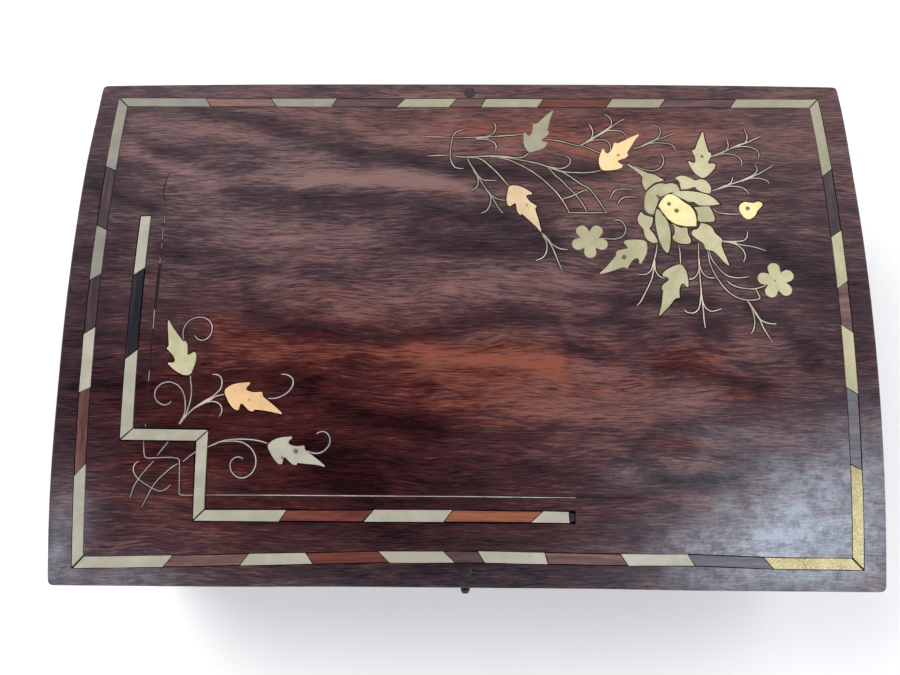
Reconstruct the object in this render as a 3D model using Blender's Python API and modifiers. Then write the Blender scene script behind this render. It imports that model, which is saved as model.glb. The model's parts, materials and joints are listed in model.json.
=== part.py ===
"""Hinged wooden box with an arched lid, inlaid with brass and copper.

+X runs along the front, to the right of someone who faces it.
+Y points to the hinges at the back, and +Z up. The origin is in the middle of the underside.
"""

import math

import bmesh
import bpy
from mathutils import Vector

# Driving dimensions, in metres.
WIDTH = 0.254
DEPTH = 0.167
HEIGHT = 0.090
ARCH_RISE = 0.00815
BODY_HEIGHT = 0.060
WALL = 0.009
BASE_THICKNESS = 0.006
PANEL_THICKNESS = 0.006
ARCH_SEGMENTS = 14
GAP = 0.0003
OVERSHOOT = 0.002  # how far a cutting shape reaches past what it cuts
FIT = 0.0001

HALF_WIDTH = WIDTH / 2
HALF_DEPTH = DEPTH / 2
INNER_X = HALF_WIDTH - WALL
INNER_Y = HALF_DEPTH - WALL
LID_BOTTOM = BODY_HEIGHT + GAP
ARCH_RADIUS = (HALF_DEPTH**2 + ARCH_RISE**2) / (2 * ARCH_RISE)
ARCH_CENTRE_Z = HEIGHT - ARCH_RADIUS

# Velvet on card that lines the case and the lid.
LINING = 0.0015
LINING_TOP = BODY_HEIGHT - 0.0025
LID_LINING = 0.0012

# Butt hinges, let into the back edges, which are bevelled to stop the lid.
HINGE_X = 0.072
LEAF_LENGTH = 0.024
LEAF_THICKNESS = 0.001
LEAF_FRONT = INNER_Y + 0.0005
AXIS_INSET = 0.003
AXIS_Y = HALF_DEPTH - AXIS_INSET
AXIS_Z = BODY_HEIGHT + GAP / 2
BEVEL_ANGLE = math.radians(50)
BEVEL_DROP = AXIS_INSET * math.tan(BEVEL_ANGLE)
KNUCKLE_RADIUS = 0.0016
KNUCKLE_CENTRE_HALF = 0.00385
HINGE_PIN_RADIUS = 0.0007
HINGE_PIN_HALF = 0.0124
NOTCH_HALF = 0.0129
NOTCH_CLEARANCE = 0.00035
SCREW_OFFSET_X = 0.0075
SCREW_Y = 0.0772
SCREW_LENGTH = 0.007
SCREW_HEAD_RADIUS = 0.0012
SCREW_SHANK_RADIUS = 0.0006
SCREW_HEAD_DEPTH = 0.0006
ROUND_SEGMENTS = 12

# Latch: a swing hook on the lid, and a round-headed pin on the case.
PIVOT_Z = 0.0685
CATCH_Z = 0.052
HOOK_REACH = PIVOT_Z - CATCH_Z
HOOK_THICKNESS = 0.001
HOOK_BACK = -HALF_DEPTH - GAP
HOOK_FRONT = HOOK_BACK - HOOK_THICKNESS
HOOK_EYE_RADIUS = 0.0024
HOOK_HOLE_RADIUS = 0.0009
HOOK_ARM_HALF = 0.0013
HOOK_END_RADIUS = 0.0028
HOOK_NOTCH_RADIUS = 0.0011
HOOK_TAB_END = 0.0068
HOOK_TAB_HALF = 0.001
LATCH_SHANK_RADIUS = 0.0008
LATCH_SHANK_DEPTH = 0.0065
PIVOT_HEAD_RADIUS = 0.0015
PIVOT_HEAD_HEIGHT = 0.0019
CATCH_HEAD_RADIUS = 0.0014
CATCH_HEAD_HEIGHT = 0.0014

# Inlay: plates let into the lid, each in a pocket a little wider and deeper.
INLAY_THICKNESS = 0.0012
INLAY_MARGIN = 0.0003
STRIP = 0.0033
BORDER_X = 0.1204
BORDER_BACK = 0.0776
BORDER_FRONT = -0.0771
STEP_LEFT = -0.1066
STEP_RIGHT = -0.0832
STEP_BACK = -0.0399
STEP_FRONT = -0.0640
LEAF_SIZE = 0.0188

# Where each corner's two strips end: outer and inner corner of the slanted end.
BORDER_ARMS = {
    "back_left": (-1, 1, (-0.0906, -0.0882), (0.0508, 0.0491)),
    "back_right": (1, 1, (0.0924, 0.0900), (0.0504, 0.0478)),
    "front_left": (-1, -1, (-0.0927, -0.0896), (-0.0508, -0.0472)),
    "front_right": (1, -1, (0.0934, 0.0902), (-0.0477, -0.0459)),
}

# Half of a leaf, from its base at 0 to its tip at 1, as (along, across).
LEAF_LEFT_SIDE = (
    (0.0, 0.0), (0.10, 0.135), (0.20, 0.215), (0.31, 0.26), (0.335, 0.235), (0.33, 0.15),
    (0.40, 0.115), (0.50, 0.165), (0.565, 0.19), (0.575, 0.155), (0.75, 0.07), (1.0, 0.0),
)
LEAF_RIGHT_SIDE = (
    (0.76, -0.075), (0.56, -0.115), (0.545, -0.15), (0.48, -0.135), (0.385, -0.08),
    (0.335, -0.125), (0.345, -0.20), (0.31, -0.225), (0.20, -0.18), (0.09, -0.10),
)

# Each leaf's base and direction on the lid, seen from above.
LEAVES = {
    "leaf_brass_1": (-0.0859, -0.0197, 116),
    "leaf_brass_2": (-0.0610, -0.0408, -20),
    "leaf_brass_3": (0.0211, 0.0565, 63),
    "leaf_brass_4": (0.0577, 0.0246, -144),
    "leaf_brass_5": (0.0778, 0.0466, 85),
    "leaf_brass_6": (0.0680, 0.0166, -114),
    "leaf_copper_1": (-0.0752, -0.0247, -21),
    "leaf_copper_2": (0.0447, 0.0493, 46),
    "leaf_copper_3": (0.0139, 0.0436, -58),
}

FLOWER_HEART = (
    (0.0663, 0.0410), (0.0643, 0.0398), (0.0621, 0.0367), (0.0639, 0.0340), (0.0660, 0.0312),
    (0.0690, 0.0299), (0.0741, 0.0297), (0.0741, 0.0335), (0.0730, 0.0364), (0.0710, 0.0382),
)

# Two nails hold the lid's panel to its rails, under wooden plugs.
PLUG_RADIUS = 0.0019
PLUG_LENGTH = 0.013
PLUG_FRONT = (0.0, -0.0785)
PLUG_BACK = (0.001, 0.0800)

NO_TURN = (0, 0, 0)
ALONG_X = (math.pi / 2, 0, math.pi / 2)
FACING_FRONT = (math.pi / 2, 0, 0)
WELD = 1e-6


def start_scene():
    """Empties the scene, and returns collections for the box and for its cutters."""
    for old in list(bpy.data.objects):
        bpy.data.objects.remove(old, do_unlink=True)
    scene = bpy.context.scene
    parts = bpy.data.collections.new("inlaid_wooden_box")
    cutters = bpy.data.collections.new("cutters")
    scene.collection.children.link(parts)
    scene.collection.children.link(cutters)
    return parts, cutters


PARTS, CUTTERS = start_scene()


def make_material(name, colour, metallic, roughness):
    material = bpy.data.materials.new(name)
    material.use_nodes = True
    shader = material.node_tree.nodes["Principled BSDF"]
    shader.inputs["Base Color"].default_value = (*colour, 1)
    shader.inputs["Metallic"].default_value = metallic
    shader.inputs["Roughness"].default_value = roughness
    return material


ROSEWOOD = make_material("rosewood", (0.09, 0.03, 0.02), 0, 0.4)
DARK_PLUG = make_material("dark_plug", (0.03, 0.015, 0.01), 0, 0.5)
VELVET = make_material("velvet", (0.25, 0.01, 0.02), 0, 0.9)
BRASS = make_material("brass_inlay", (0.55, 0.52, 0.33), 1, 0.4)
BRIGHT_BRASS = make_material("bright_brass", (0.9, 0.75, 0.3), 1, 0.3)
COPPER = make_material("copper_inlay", (0.9, 0.5, 0.25), 1, 0.35)
HARDWARE = make_material("hardware_brass", (0.6, 0.45, 0.2), 1, 0.35)


def place(obj, material, is_cutter):
    """Puts a new object in its collection, with its material or as a hidden cutter."""
    for owner in list(obj.users_collection):
        owner.objects.unlink(obj)
    if is_cutter:
        CUTTERS.objects.link(obj)
        obj.hide_render = True
        obj.display_type = "WIRE"
    else:
        PARTS.objects.link(obj)
        obj.data.materials.clear()
        obj.data.materials.append(material)
    return obj


def box(name, low, high, material=None):
    """A box between two corners. Without a material it is a cutter."""
    low = Vector(low)
    high = Vector(high)
    bpy.ops.mesh.primitive_cube_add(size=1, location=(low + high) / 2)
    obj = bpy.context.object
    obj.name = name
    obj.scale = high - low
    bpy.ops.object.transform_apply(location=False, rotation=False, scale=True)
    return place(obj, material, material is None)


def extruded(name, outline, thickness, location, turn, material=None):
    """A flat outline in its own XY plane, thickened evenly about that plane."""
    curve = bpy.data.curves.new(name, "CURVE")
    curve.dimensions = "2D"
    curve.fill_mode = "BOTH"
    curve.extrude = thickness / 2
    spline = curve.splines.new("POLY")
    spline.points.add(len(outline) - 1)
    for point, (x, y) in zip(spline.points, outline):
        point.co = (x, y, 0, 1)
    spline.use_cyclic_u = True
    guide = bpy.data.objects.new(name + "_outline", curve)
    guide.location = location
    guide.rotation_euler = turn
    bpy.context.scene.collection.objects.link(guide)
    bpy.context.view_layer.update()
    graph = bpy.context.evaluated_depsgraph_get()
    mesh = bpy.data.meshes.new_from_object(guide.evaluated_get(graph))
    mesh.name = name
    welded = bmesh.new()
    welded.from_mesh(mesh)
    bmesh.ops.remove_doubles(welded, verts=welded.verts, dist=WELD)
    bmesh.ops.recalc_face_normals(welded, faces=welded.faces)
    welded.to_mesh(mesh)
    welded.free()
    obj = bpy.data.objects.new(name, mesh)
    obj.matrix_world = guide.matrix_world
    bpy.data.objects.remove(guide, do_unlink=True)
    bpy.data.curves.remove(curve)
    bpy.context.scene.collection.objects.link(obj)
    return place(obj, material, material is None)


def turned(name, profile, location, turn, material=None):
    """A solid turned about its own Z axis from (radius, height) points, top to bottom."""
    mesh = bpy.data.meshes.new(name)
    edges = [(i, i + 1) for i in range(len(profile) - 1)]
    mesh.from_pydata([(r, 0, z) for r, z in profile], edges, [])
    obj = bpy.data.objects.new(name, mesh)
    obj.location = location
    obj.rotation_euler = turn
    bpy.context.scene.collection.objects.link(obj)
    screw = obj.modifiers.new("turned", "SCREW")
    screw.steps = ROUND_SEGMENTS
    screw.render_steps = ROUND_SEGMENTS
    screw.use_merge_vertices = True
    screw.merge_threshold = WELD
    return place(obj, material, material is None)


def rod(name, radius, length, location, turn, material=None):
    """A plain round rod, centred on its location and lying along its own Z axis."""
    bpy.ops.mesh.primitive_cylinder_add(
        vertices=ROUND_SEGMENTS, radius=radius, depth=length, location=location, rotation=turn
    )
    obj = bpy.context.object
    obj.name = name
    return place(obj, material, material is None)


def boolean(obj, other, operation):
    change = obj.modifiers.new(operation.lower() + "_" + other.name, "BOOLEAN")
    change.operation = operation
    change.object = other


def cut(obj, *cutters):
    for cutter in cutters:
        boolean(obj, cutter, "DIFFERENCE")


def join(obj, *additions):
    for addition in additions:
        boolean(obj, addition, "UNION")


def arch_height(y, drop):
    """Height of the arched surface that lies drop below the top of the lid."""
    return ARCH_CENTRE_Z + math.sqrt((ARCH_RADIUS - drop) ** 2 - y * y)


def arch_line(drop, half_depth):
    """Points along that surface, from the front to the back, as (y, z)."""
    ys = [half_depth * (2 * i / ARCH_SEGMENTS - 1) for i in range(ARCH_SEGMENTS + 1)]
    return [(y, arch_height(y, drop)) for y in ys]


def arched_sheet(name, top_drop, bottom_drop, half_width, half_depth, material=None):
    outline = arch_line(bottom_drop, half_depth) + arch_line(top_drop, half_depth)[::-1]
    return extruded(name, outline, 2 * half_width, (0, 0, 0), ALONG_X, material)


def screw_profile(extra):
    """A countersunk screw with its head at the top, or its hole where extra is added."""
    head = SCREW_HEAD_RADIUS + extra
    shank = SCREW_SHANK_RADIUS + extra
    return [
        (0, extra),
        (head, extra),
        (shank, -SCREW_HEAD_DEPTH - extra),
        (shank, -0.8 * SCREW_LENGTH),
        (0, -SCREW_LENGTH - extra),
    ]


def make_case():
    """Four walls and a base, glued up. The back wall's top edge is bevelled for the lid."""
    low = (-INNER_X + GAP, -INNER_Y + GAP, 0)
    high = (INNER_X - GAP, INNER_Y - GAP, BASE_THICKNESS)
    box("base_panel", low, high, ROSEWOOD)
    front = box("body_front", (-HALF_WIDTH, -HALF_DEPTH, 0), (HALF_WIDTH, -INNER_Y, BODY_HEIGHT), ROSEWOOD)
    for side, sign in (("left", -1), ("right", 1)):
        xs = sorted((sign * INNER_X, sign * HALF_WIDTH))
        low = (xs[0], -INNER_Y + GAP, 0)
        high = (xs[1], INNER_Y - GAP, BODY_HEIGHT)
        box("body_" + side, low, high, ROSEWOOD)
    outline = [
        (INNER_Y, 0),
        (HALF_DEPTH, 0),
        (HALF_DEPTH, BODY_HEIGHT - BEVEL_DROP),
        (AXIS_Y, BODY_HEIGHT),
        (INNER_Y, BODY_HEIGHT),
    ]
    back = extruded("body_back", outline, WIDTH, (0, 0, 0), ALONG_X, ROSEWOOD)
    return front, back


def make_linings():
    """Velvet-covered card on the floor and walls of the case, and under the lid."""
    x = INNER_X - 2 * GAP
    y = INNER_Y - 2 * GAP
    floor_low = BASE_THICKNESS + GAP
    floor_top = floor_low + LINING
    wall_low = floor_top + GAP
    box("lining_floor", (-x, -y, floor_low), (x, y, floor_top), VELVET)
    box("lining_front", (-x, -y, wall_low), (x, LINING - y, LINING_TOP), VELVET)
    box("lining_back", (-x, y - LINING, wall_low), (x, y, LINING_TOP), VELVET)
    side_y = y - LINING - GAP
    box("lining_left", (-x, -side_y, wall_low), (LINING - x, side_y, LINING_TOP), VELVET)
    box("lining_right", (x - LINING, -side_y, wall_low), (x, side_y, LINING_TOP), VELVET)
    top_drop = PANEL_THICKNESS + GAP
    arched_sheet("lid_lining", top_drop, top_drop + LID_LINING, x, y, VELVET)


def make_lid():
    """Two rails and two arched ends, under a curved panel that covers them all."""
    under = PANEL_THICKNESS + GAP
    front_outline = [
        (-HALF_DEPTH, LID_BOTTOM),
        (-INNER_Y, LID_BOTTOM),
        (-INNER_Y, arch_height(INNER_Y, under)),
        (-HALF_DEPTH, arch_height(HALF_DEPTH, under)),
    ]
    front = extruded("lid_front_rail", front_outline, WIDTH, (0, 0, 0), ALONG_X, ROSEWOOD)
    back_outline = [
        (INNER_Y, LID_BOTTOM),
        (AXIS_Y, LID_BOTTOM),
        (HALF_DEPTH, LID_BOTTOM + BEVEL_DROP),
        (HALF_DEPTH, arch_height(HALF_DEPTH, under)),
        (INNER_Y, arch_height(INNER_Y, under)),
    ]
    back = extruded("lid_back_rail", back_outline, WIDTH, (0, 0, 0), ALONG_X, ROSEWOOD)
    end_y = INNER_Y - GAP
    end_outline = [(-end_y, LID_BOTTOM), (end_y, LID_BOTTOM)] + arch_line(under, end_y)[::-1]
    for side, sign in (("left", -1), ("right", 1)):
        centre = (sign * (HALF_WIDTH - WALL / 2), 0, 0)
        extruded("lid_" + side + "_end", end_outline, WALL, centre, ALONG_X, ROSEWOOD)
    panel = arched_sheet("lid_top_panel", 0, PANEL_THICKNESS, HALF_WIDTH, HALF_DEPTH, ROSEWOOD)
    return front, back, panel


def make_plug(name, position, rail, panel):
    """A wooden plug over a panel nail, through the panel and into the rail."""
    x, y = position
    top = arch_height(y, 0) - FIT
    centre = (x, y, top - PLUG_LENGTH / 2)
    rod(name, PLUG_RADIUS, PLUG_LENGTH, centre, NO_TURN, DARK_PLUG)
    hole = rod(name + "_hole", PLUG_RADIUS + 2 * FIT, PLUG_LENGTH + OVERSHOOT, centre, NO_TURN)
    cut(rail, hole)
    cut(panel, hole)


def make_hinge(side, x, body_back, lid_back):
    """Two leaves whose knuckles share a pin, let into the bevelled edges."""
    middle = KNUCKLE_CENTRE_HALF + GAP
    half = LEAF_LENGTH / 2
    knuckle_spans = {
        "body": ((-half, -middle), (middle, half)),
        "lid": ((-KNUCKLE_CENTRE_HALF, KNUCKLE_CENTRE_HALF),),
    }
    relief_spans = {
        "body": ((-middle, middle),),
        "lid": ((-half - GAP, -KNUCKLE_CENTRE_HALF), (KNUCKLE_CENTRE_HALF, half + GAP)),
    }
    relief_y = AXIS_Y - KNUCKLE_RADIUS - GAP
    bore = rod("hinge_bore_" + side, HINGE_PIN_RADIUS + FIT, 0.03, (x, AXIS_Y, AXIS_Z), ALONG_X)
    for owner, wood in (("body", body_back), ("lid", lid_back)):
        up = 1 if owner == "lid" else -1
        face = LID_BOTTOM if owner == "lid" else BODY_HEIGHT
        zs = sorted((face, face + up * LEAF_THICKNESS))
        name = "hinge_" + owner + "_leaf_" + side
        leaf = box(name, (x - half, LEAF_FRONT, zs[0]), (x + half, AXIS_Y, zs[1]), HARDWARE)
        for i, (start, end) in enumerate(relief_spans[owner]):
            low = (x + start, relief_y, AXIS_Z - 0.003)
            high = (x + end, AXIS_Y + 0.003, AXIS_Z + 0.003)
            cut(leaf, box(name + "_relief_" + str(i), low, high))
        for i, (start, end) in enumerate(knuckle_spans[owner]):
            centre = (x + (start + end) / 2, AXIS_Y, AXIS_Z)
            join(leaf, rod(name + "_knuckle_" + str(i), KNUCKLE_RADIUS, end - start, centre, ALONG_X))
        cut(leaf, bore)
        mortise_zs = sorted((face - up * 0.001, face + up * (LEAF_THICKNESS + GAP)))
        mortise = box(
            name + "_mortise",
            (x - half - GAP, INNER_Y - OVERSHOOT, mortise_zs[0]),
            (x + half + GAP, AXIS_Y, mortise_zs[1]),
        )
        notch_zs = sorted((AXIS_Z - up * 0.003, AXIS_Z + up * (KNUCKLE_RADIUS + NOTCH_CLEARANCE)))
        notch = box(
            name + "_notch",
            (x - NOTCH_HALF, relief_y, notch_zs[0]),
            (x + NOTCH_HALF, HALF_DEPTH + OVERSHOOT, notch_zs[1]),
        )
        cut(wood, mortise, notch)
        turn = (math.pi, 0, 0) if owner == "lid" else NO_TURN
        for i, offset in enumerate((-SCREW_OFFSET_X, SCREW_OFFSET_X)):
            head = (x + offset, SCREW_Y, face + up * 2 * FIT)
            screw_name = "hinge_screw_" + owner + "_" + side + "_" + str(i + 1)
            turned(screw_name, screw_profile(0), head, turn, HARDWARE)
            hole = turned(screw_name + "_hole", screw_profile(1.5 * FIT), head, turn)
            cut(leaf, hole)
            cut(wood, hole)
    rod("hinge_pin_" + side, HINGE_PIN_RADIUS, 2 * HINGE_PIN_HALF, (x, AXIS_Y, AXIS_Z), ALONG_X, HARDWARE)


def arc(centre, radius, start, end, steps):
    """Points on a circle from one angle to another, in degrees."""
    angles = [math.radians(start + (end - start) * i / steps) for i in range(steps + 1)]
    return [(centre[0] + radius * math.cos(a), centre[1] + radius * math.sin(a)) for a in angles]


def hook_outline():
    """The latch hook, pointing to +X, with the notch for the catch pin open downwards."""
    eye = math.degrees(math.asin(HOOK_ARM_HALF / HOOK_EYE_RADIUS))
    shoulder = math.degrees(math.asin(HOOK_ARM_HALF / HOOK_END_RADIUS))
    tab = math.degrees(math.asin(HOOK_TAB_HALF / HOOK_END_RADIUS))
    beak = math.degrees(math.acos(HOOK_NOTCH_RADIUS / HOOK_END_RADIUS))
    end = (HOOK_REACH, 0)
    tab_centre = (HOOK_REACH + HOOK_TAB_END - HOOK_TAB_HALF, 0)
    outline = arc((0, 0), HOOK_EYE_RADIUS, 360 - eye, eye, 10)
    outline += arc(end, HOOK_END_RADIUS, 180 - shoulder, tab, 5)
    outline += arc(tab_centre, HOOK_TAB_HALF, 90, -90, 4)
    outline += arc(end, HOOK_END_RADIUS, -tab, -beak, 3)
    outline += arc(end, HOOK_NOTCH_RADIUS, 0, 180, 6)
    outline.append((HOOK_REACH - HOOK_NOTCH_RADIUS, -HOOK_ARM_HALF))
    return outline


def round_head(head_radius, head_height, head_start):
    """A round-headed pin driven into the front, its outer end at the top of the profile."""
    tip = -LATCH_SHANK_DEPTH
    return [
        (0, head_start + head_height),
        (0.6 * head_radius, head_start + head_height),
        (head_radius, head_start + 0.5 * head_height),
        (head_radius, head_start),
        (LATCH_SHANK_RADIUS, head_start),
        (LATCH_SHANK_RADIUS, 0.7 * tip),
        (0, tip),
    ]


def make_latch(body_front, lid_front):
    middle = (HOOK_BACK + HOOK_FRONT) / 2
    place_at = (0, middle, PIVOT_Z)
    hook = extruded("latch_hook", hook_outline(), HOOK_THICKNESS, place_at, FACING_FRONT, HARDWARE)
    cut(hook, rod("hook_hole", HOOK_HOLE_RADIUS, 0.004, (0, middle, PIVOT_Z), FACING_FRONT))
    head_start = -HOOK_FRONT - HALF_DEPTH + GAP
    pivot = round_head(PIVOT_HEAD_RADIUS, PIVOT_HEAD_HEIGHT, head_start)
    catch = round_head(CATCH_HEAD_RADIUS, CATCH_HEAD_HEIGHT, head_start)
    turned("hook_screw", pivot, (0, -HALF_DEPTH, PIVOT_Z), FACING_FRONT, HARDWARE)
    turned("catch_pin", catch, (0, -HALF_DEPTH, CATCH_Z), FACING_FRONT, HARDWARE)
    for wood, z in ((lid_front, PIVOT_Z), (body_front, CATCH_Z)):
        radius = LATCH_SHANK_RADIUS + 1.5 * FIT
        length = 2 * (LATCH_SHANK_DEPTH + GAP)
        cut(wood, rod(wood.name + "_latch_hole", radius, length, (0, -HALF_DEPTH, z), FACING_FRONT))


def widened(outline, margin):
    """The outline moved outwards by a margin, corner by corner. It runs anticlockwise."""
    count = len(outline)
    points = [Vector(p) for p in outline]
    wide = []
    for i, point in enumerate(points):
        before = (point - points[i - 1]).normalized()
        after = (points[(i + 1) % count] - point).normalized()
        out_before = Vector((before.y, -before.x))
        out_after = Vector((after.y, -after.x))
        middle = (out_before + out_after).normalized()
        reach = min(margin / max(middle.dot(out_before), 0.2), 2 * margin)
        wide.append(tuple(point + middle * reach))
    return wide


def anticlockwise(outline):
    pairs = zip(outline, outline[1:] + outline[:1])
    area = sum(a[0] * b[1] - b[0] * a[1] for a, b in pairs)
    return outline if area > 0 else outline[::-1]


def make_inlay(name, outline, material, panel, plate_layer, pocket_layer):
    """A plate that follows the arch, and its pocket in the panel."""
    outline = anticlockwise(list(outline))
    through = 3 * (ARCH_RISE + INLAY_THICKNESS)
    centre = (0, 0, HEIGHT)
    plate = extruded(name, outline, through, centre, NO_TURN, material)
    boolean(plate, plate_layer, "INTERSECT")
    pocket = extruded(name + "_pocket", widened(outline, INLAY_MARGIN), 1.1 * through, centre, NO_TURN)
    boolean(pocket, pocket_layer, "INTERSECT")
    cut(panel, pocket)


def border_outlines():
    """The two mitred strips at each corner of the border."""
    outlines = {}
    for name, (side, end, x_ends, y_ends) in BORDER_ARMS.items():
        outer_x = side * BORDER_X
        inner_x = side * (BORDER_X - STRIP)
        outer_y = BORDER_BACK if end > 0 else BORDER_FRONT
        inner_y = outer_y - end * STRIP
        # The mitred ends of the two strips stand apart by the width of a glue line.
        shift = INLAY_MARGIN * 1.2
        along = [(outer_x - side * shift, outer_y), (inner_x - side * shift, inner_y)]
        along += [(x_ends[1], inner_y), (x_ends[0], outer_y)]
        across = [(outer_x, outer_y - end * shift), (inner_x, inner_y - end * shift)]
        across += [(inner_x, y_ends[1]), (outer_x, y_ends[0])]
        outlines["border_" + name + "_long"] = along
        outlines["border_" + name + "_short"] = across
    return outlines


def step_outlines():
    """Seven strips that step down from the left side to the front."""
    inner_left = STEP_LEFT + STRIP
    inner_right = STEP_RIGHT + STRIP
    inner_back = STEP_BACK + STRIP
    inner_front = STEP_FRONT + STRIP
    gap = INLAY_MARGIN * 1.2
    return {
        "step_strip_1": [
            (STEP_LEFT, 0.0325), (inner_left, 0.0325), (inner_left, 0.0147), (STEP_LEFT, 0.0125),
        ],
        "step_strip_2": [
            (inner_left, -0.0119), (STEP_LEFT, -0.0149),
            (STEP_LEFT, STEP_BACK + gap), (inner_left, inner_back + gap),
        ],
        "step_strip_3": [
            (STEP_LEFT + gap, STEP_BACK), (inner_left + gap, inner_back),
            (inner_right - gap, inner_back), (STEP_RIGHT - gap, STEP_BACK),
        ],
        "step_strip_4": [
            (inner_right, inner_back - gap), (STEP_RIGHT, STEP_BACK - gap),
            (STEP_RIGHT, STEP_FRONT + gap), (inner_right, inner_front + gap),
        ],
        "step_strip_5": [
            (STEP_RIGHT + gap, STEP_FRONT), (inner_right + gap, inner_front),
            (-0.0550, inner_front), (-0.0573, STEP_FRONT),
        ],
        "step_strip_6": [
            (-0.0281, inner_front), (-0.0313, STEP_FRONT), (-0.0068, STEP_FRONT), (-0.0043, inner_front),
        ],
        "step_strip_7": [
            (0.0235, inner_front), (0.0198, STEP_FRONT), (0.0313, STEP_FRONT), (0.0313, inner_front),
        ],
    }


def leaf_outline(x, y, degrees):
    """A leaf with two lobes and two barbs, from its base along a direction."""
    turn = math.radians(degrees)
    along = Vector((math.cos(turn), math.sin(turn)))
    across = Vector((-math.sin(turn), math.cos(turn)))
    shape = LEAF_LEFT_SIDE + LEAF_RIGHT_SIDE
    return [tuple(Vector((x, y)) + LEAF_SIZE * (a * along + b * across)) for a, b in shape]


def make_inlays(panel):
    plate_layer = arched_sheet("plate_layer", 0, INLAY_THICKNESS, HALF_WIDTH + OVERSHOOT, HALF_DEPTH)
    pocket_depth = INLAY_THICKNESS + INLAY_MARGIN
    pocket_layer = arched_sheet("pocket_layer", -OVERSHOOT, pocket_depth, HALF_WIDTH + OVERSHOOT, HALF_DEPTH)
    outlines = {**border_outlines(), **step_outlines()}
    for name, outline in outlines.items():
        make_inlay(name, outline, BRASS, panel, plate_layer, pocket_layer)
    for name, (x, y, degrees) in LEAVES.items():
        metal = COPPER if "copper" in name else BRASS
        make_inlay(name, leaf_outline(x, y, degrees), metal, panel, plate_layer, pocket_layer)
    make_inlay("flower_heart", FLOWER_HEART, BRIGHT_BRASS, panel, plate_layer, pocket_layer)


def make_box():
    body_front, body_back = make_case()
    make_linings()
    lid_front, lid_back, panel = make_lid()
    make_hinge("left", -HINGE_X, body_back, lid_back)
    make_hinge("right", HINGE_X, body_back, lid_back)
    make_latch(body_front, lid_front)
    make_inlays(panel)
    make_plug("panel_plug_front", PLUG_FRONT, lid_front, panel)
    make_plug("panel_plug_back", PLUG_BACK, lid_back, panel)


make_box()
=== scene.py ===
"""Looks of a hinged wooden box with an arched lid, inlaid with brass, copper and fine wire.

Every length is in metres, in the frame of the CAD: +X to the right along the front, +Y to the
hinges at the back, +Z up from the underside. The inlay is drawn in millimetres, seen from above
and measured from the middle of the lid.
"""

import contextlib
import json
import math
import random

import bmesh
import bpy
import numpy as np
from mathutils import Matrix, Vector, noise

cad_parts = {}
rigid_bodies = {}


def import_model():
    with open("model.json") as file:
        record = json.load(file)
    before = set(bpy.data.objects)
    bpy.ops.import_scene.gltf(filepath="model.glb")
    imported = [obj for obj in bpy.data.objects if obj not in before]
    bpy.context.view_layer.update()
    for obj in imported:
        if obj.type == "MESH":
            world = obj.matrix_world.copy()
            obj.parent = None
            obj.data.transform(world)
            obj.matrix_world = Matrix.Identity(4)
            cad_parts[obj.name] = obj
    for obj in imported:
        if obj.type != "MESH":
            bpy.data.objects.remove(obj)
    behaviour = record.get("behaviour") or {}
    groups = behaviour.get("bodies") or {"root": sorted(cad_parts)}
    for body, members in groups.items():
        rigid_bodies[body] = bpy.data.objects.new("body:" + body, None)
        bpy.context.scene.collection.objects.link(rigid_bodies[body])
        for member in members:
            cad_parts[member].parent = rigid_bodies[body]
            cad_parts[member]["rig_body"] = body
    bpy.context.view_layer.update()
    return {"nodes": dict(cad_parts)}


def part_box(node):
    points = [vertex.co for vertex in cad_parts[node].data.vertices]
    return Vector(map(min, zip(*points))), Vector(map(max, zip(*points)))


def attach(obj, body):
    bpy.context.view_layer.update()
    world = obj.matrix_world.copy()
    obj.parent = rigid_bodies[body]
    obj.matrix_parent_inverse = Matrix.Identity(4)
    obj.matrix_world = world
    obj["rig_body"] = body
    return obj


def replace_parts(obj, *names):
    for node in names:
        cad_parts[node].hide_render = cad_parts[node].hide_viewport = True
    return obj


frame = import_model()
bpy.ops.object.select_all(action="DESELECT")
random.seed(11)

MM = 0.001
PANEL_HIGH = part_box("lid_top_panel")[1]
TOP = PANEL_HIGH.z
HALF_WIDTH = PANEL_HIGH.x
HALF_DEPTH = PANEL_HIGH.y
ARCH_RISE = 0.00815
PANEL_THICKNESS = 0.006
ARCH_RADIUS = (HALF_DEPTH**2 + ARCH_RISE**2) / (2 * ARCH_RISE)
ARCH_CENTRE_Z = TOP - ARCH_RADIUS
INLAY_THICKNESS = 0.0012
POCKET_DEPTH = 0.0015
POCKET_MARGIN = 0.00033
CHANNEL_MARGIN = 0.0002
PLUG_MARGIN = 0.00004
PLATE_EASE = 0.00006
PLATE_PROUD = 0.00003
FILL_PROUD = -0.00002
CUTTER_PROUD = 0.001
BEND_STEP = 0.003
OUTLINE_STEPS = 5
STRIP = 3.35
WELD = 1e-6


# ---------------------------------------------------------------- camera, floor and light

def make_camera():
    camera_data = bpy.data.cameras.new("camera")
    camera_data.lens = 28.8
    camera_data.sensor_width = 36
    camera = bpy.data.objects.new("camera", camera_data)
    camera.location = (-0.00314, -0.05011, 0.31118)
    camera.rotation_euler = [math.radians(a) for a in (10.9, 0.47, 0.39)]
    bpy.context.scene.collection.objects.link(camera)
    bpy.context.scene.camera = camera


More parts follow.
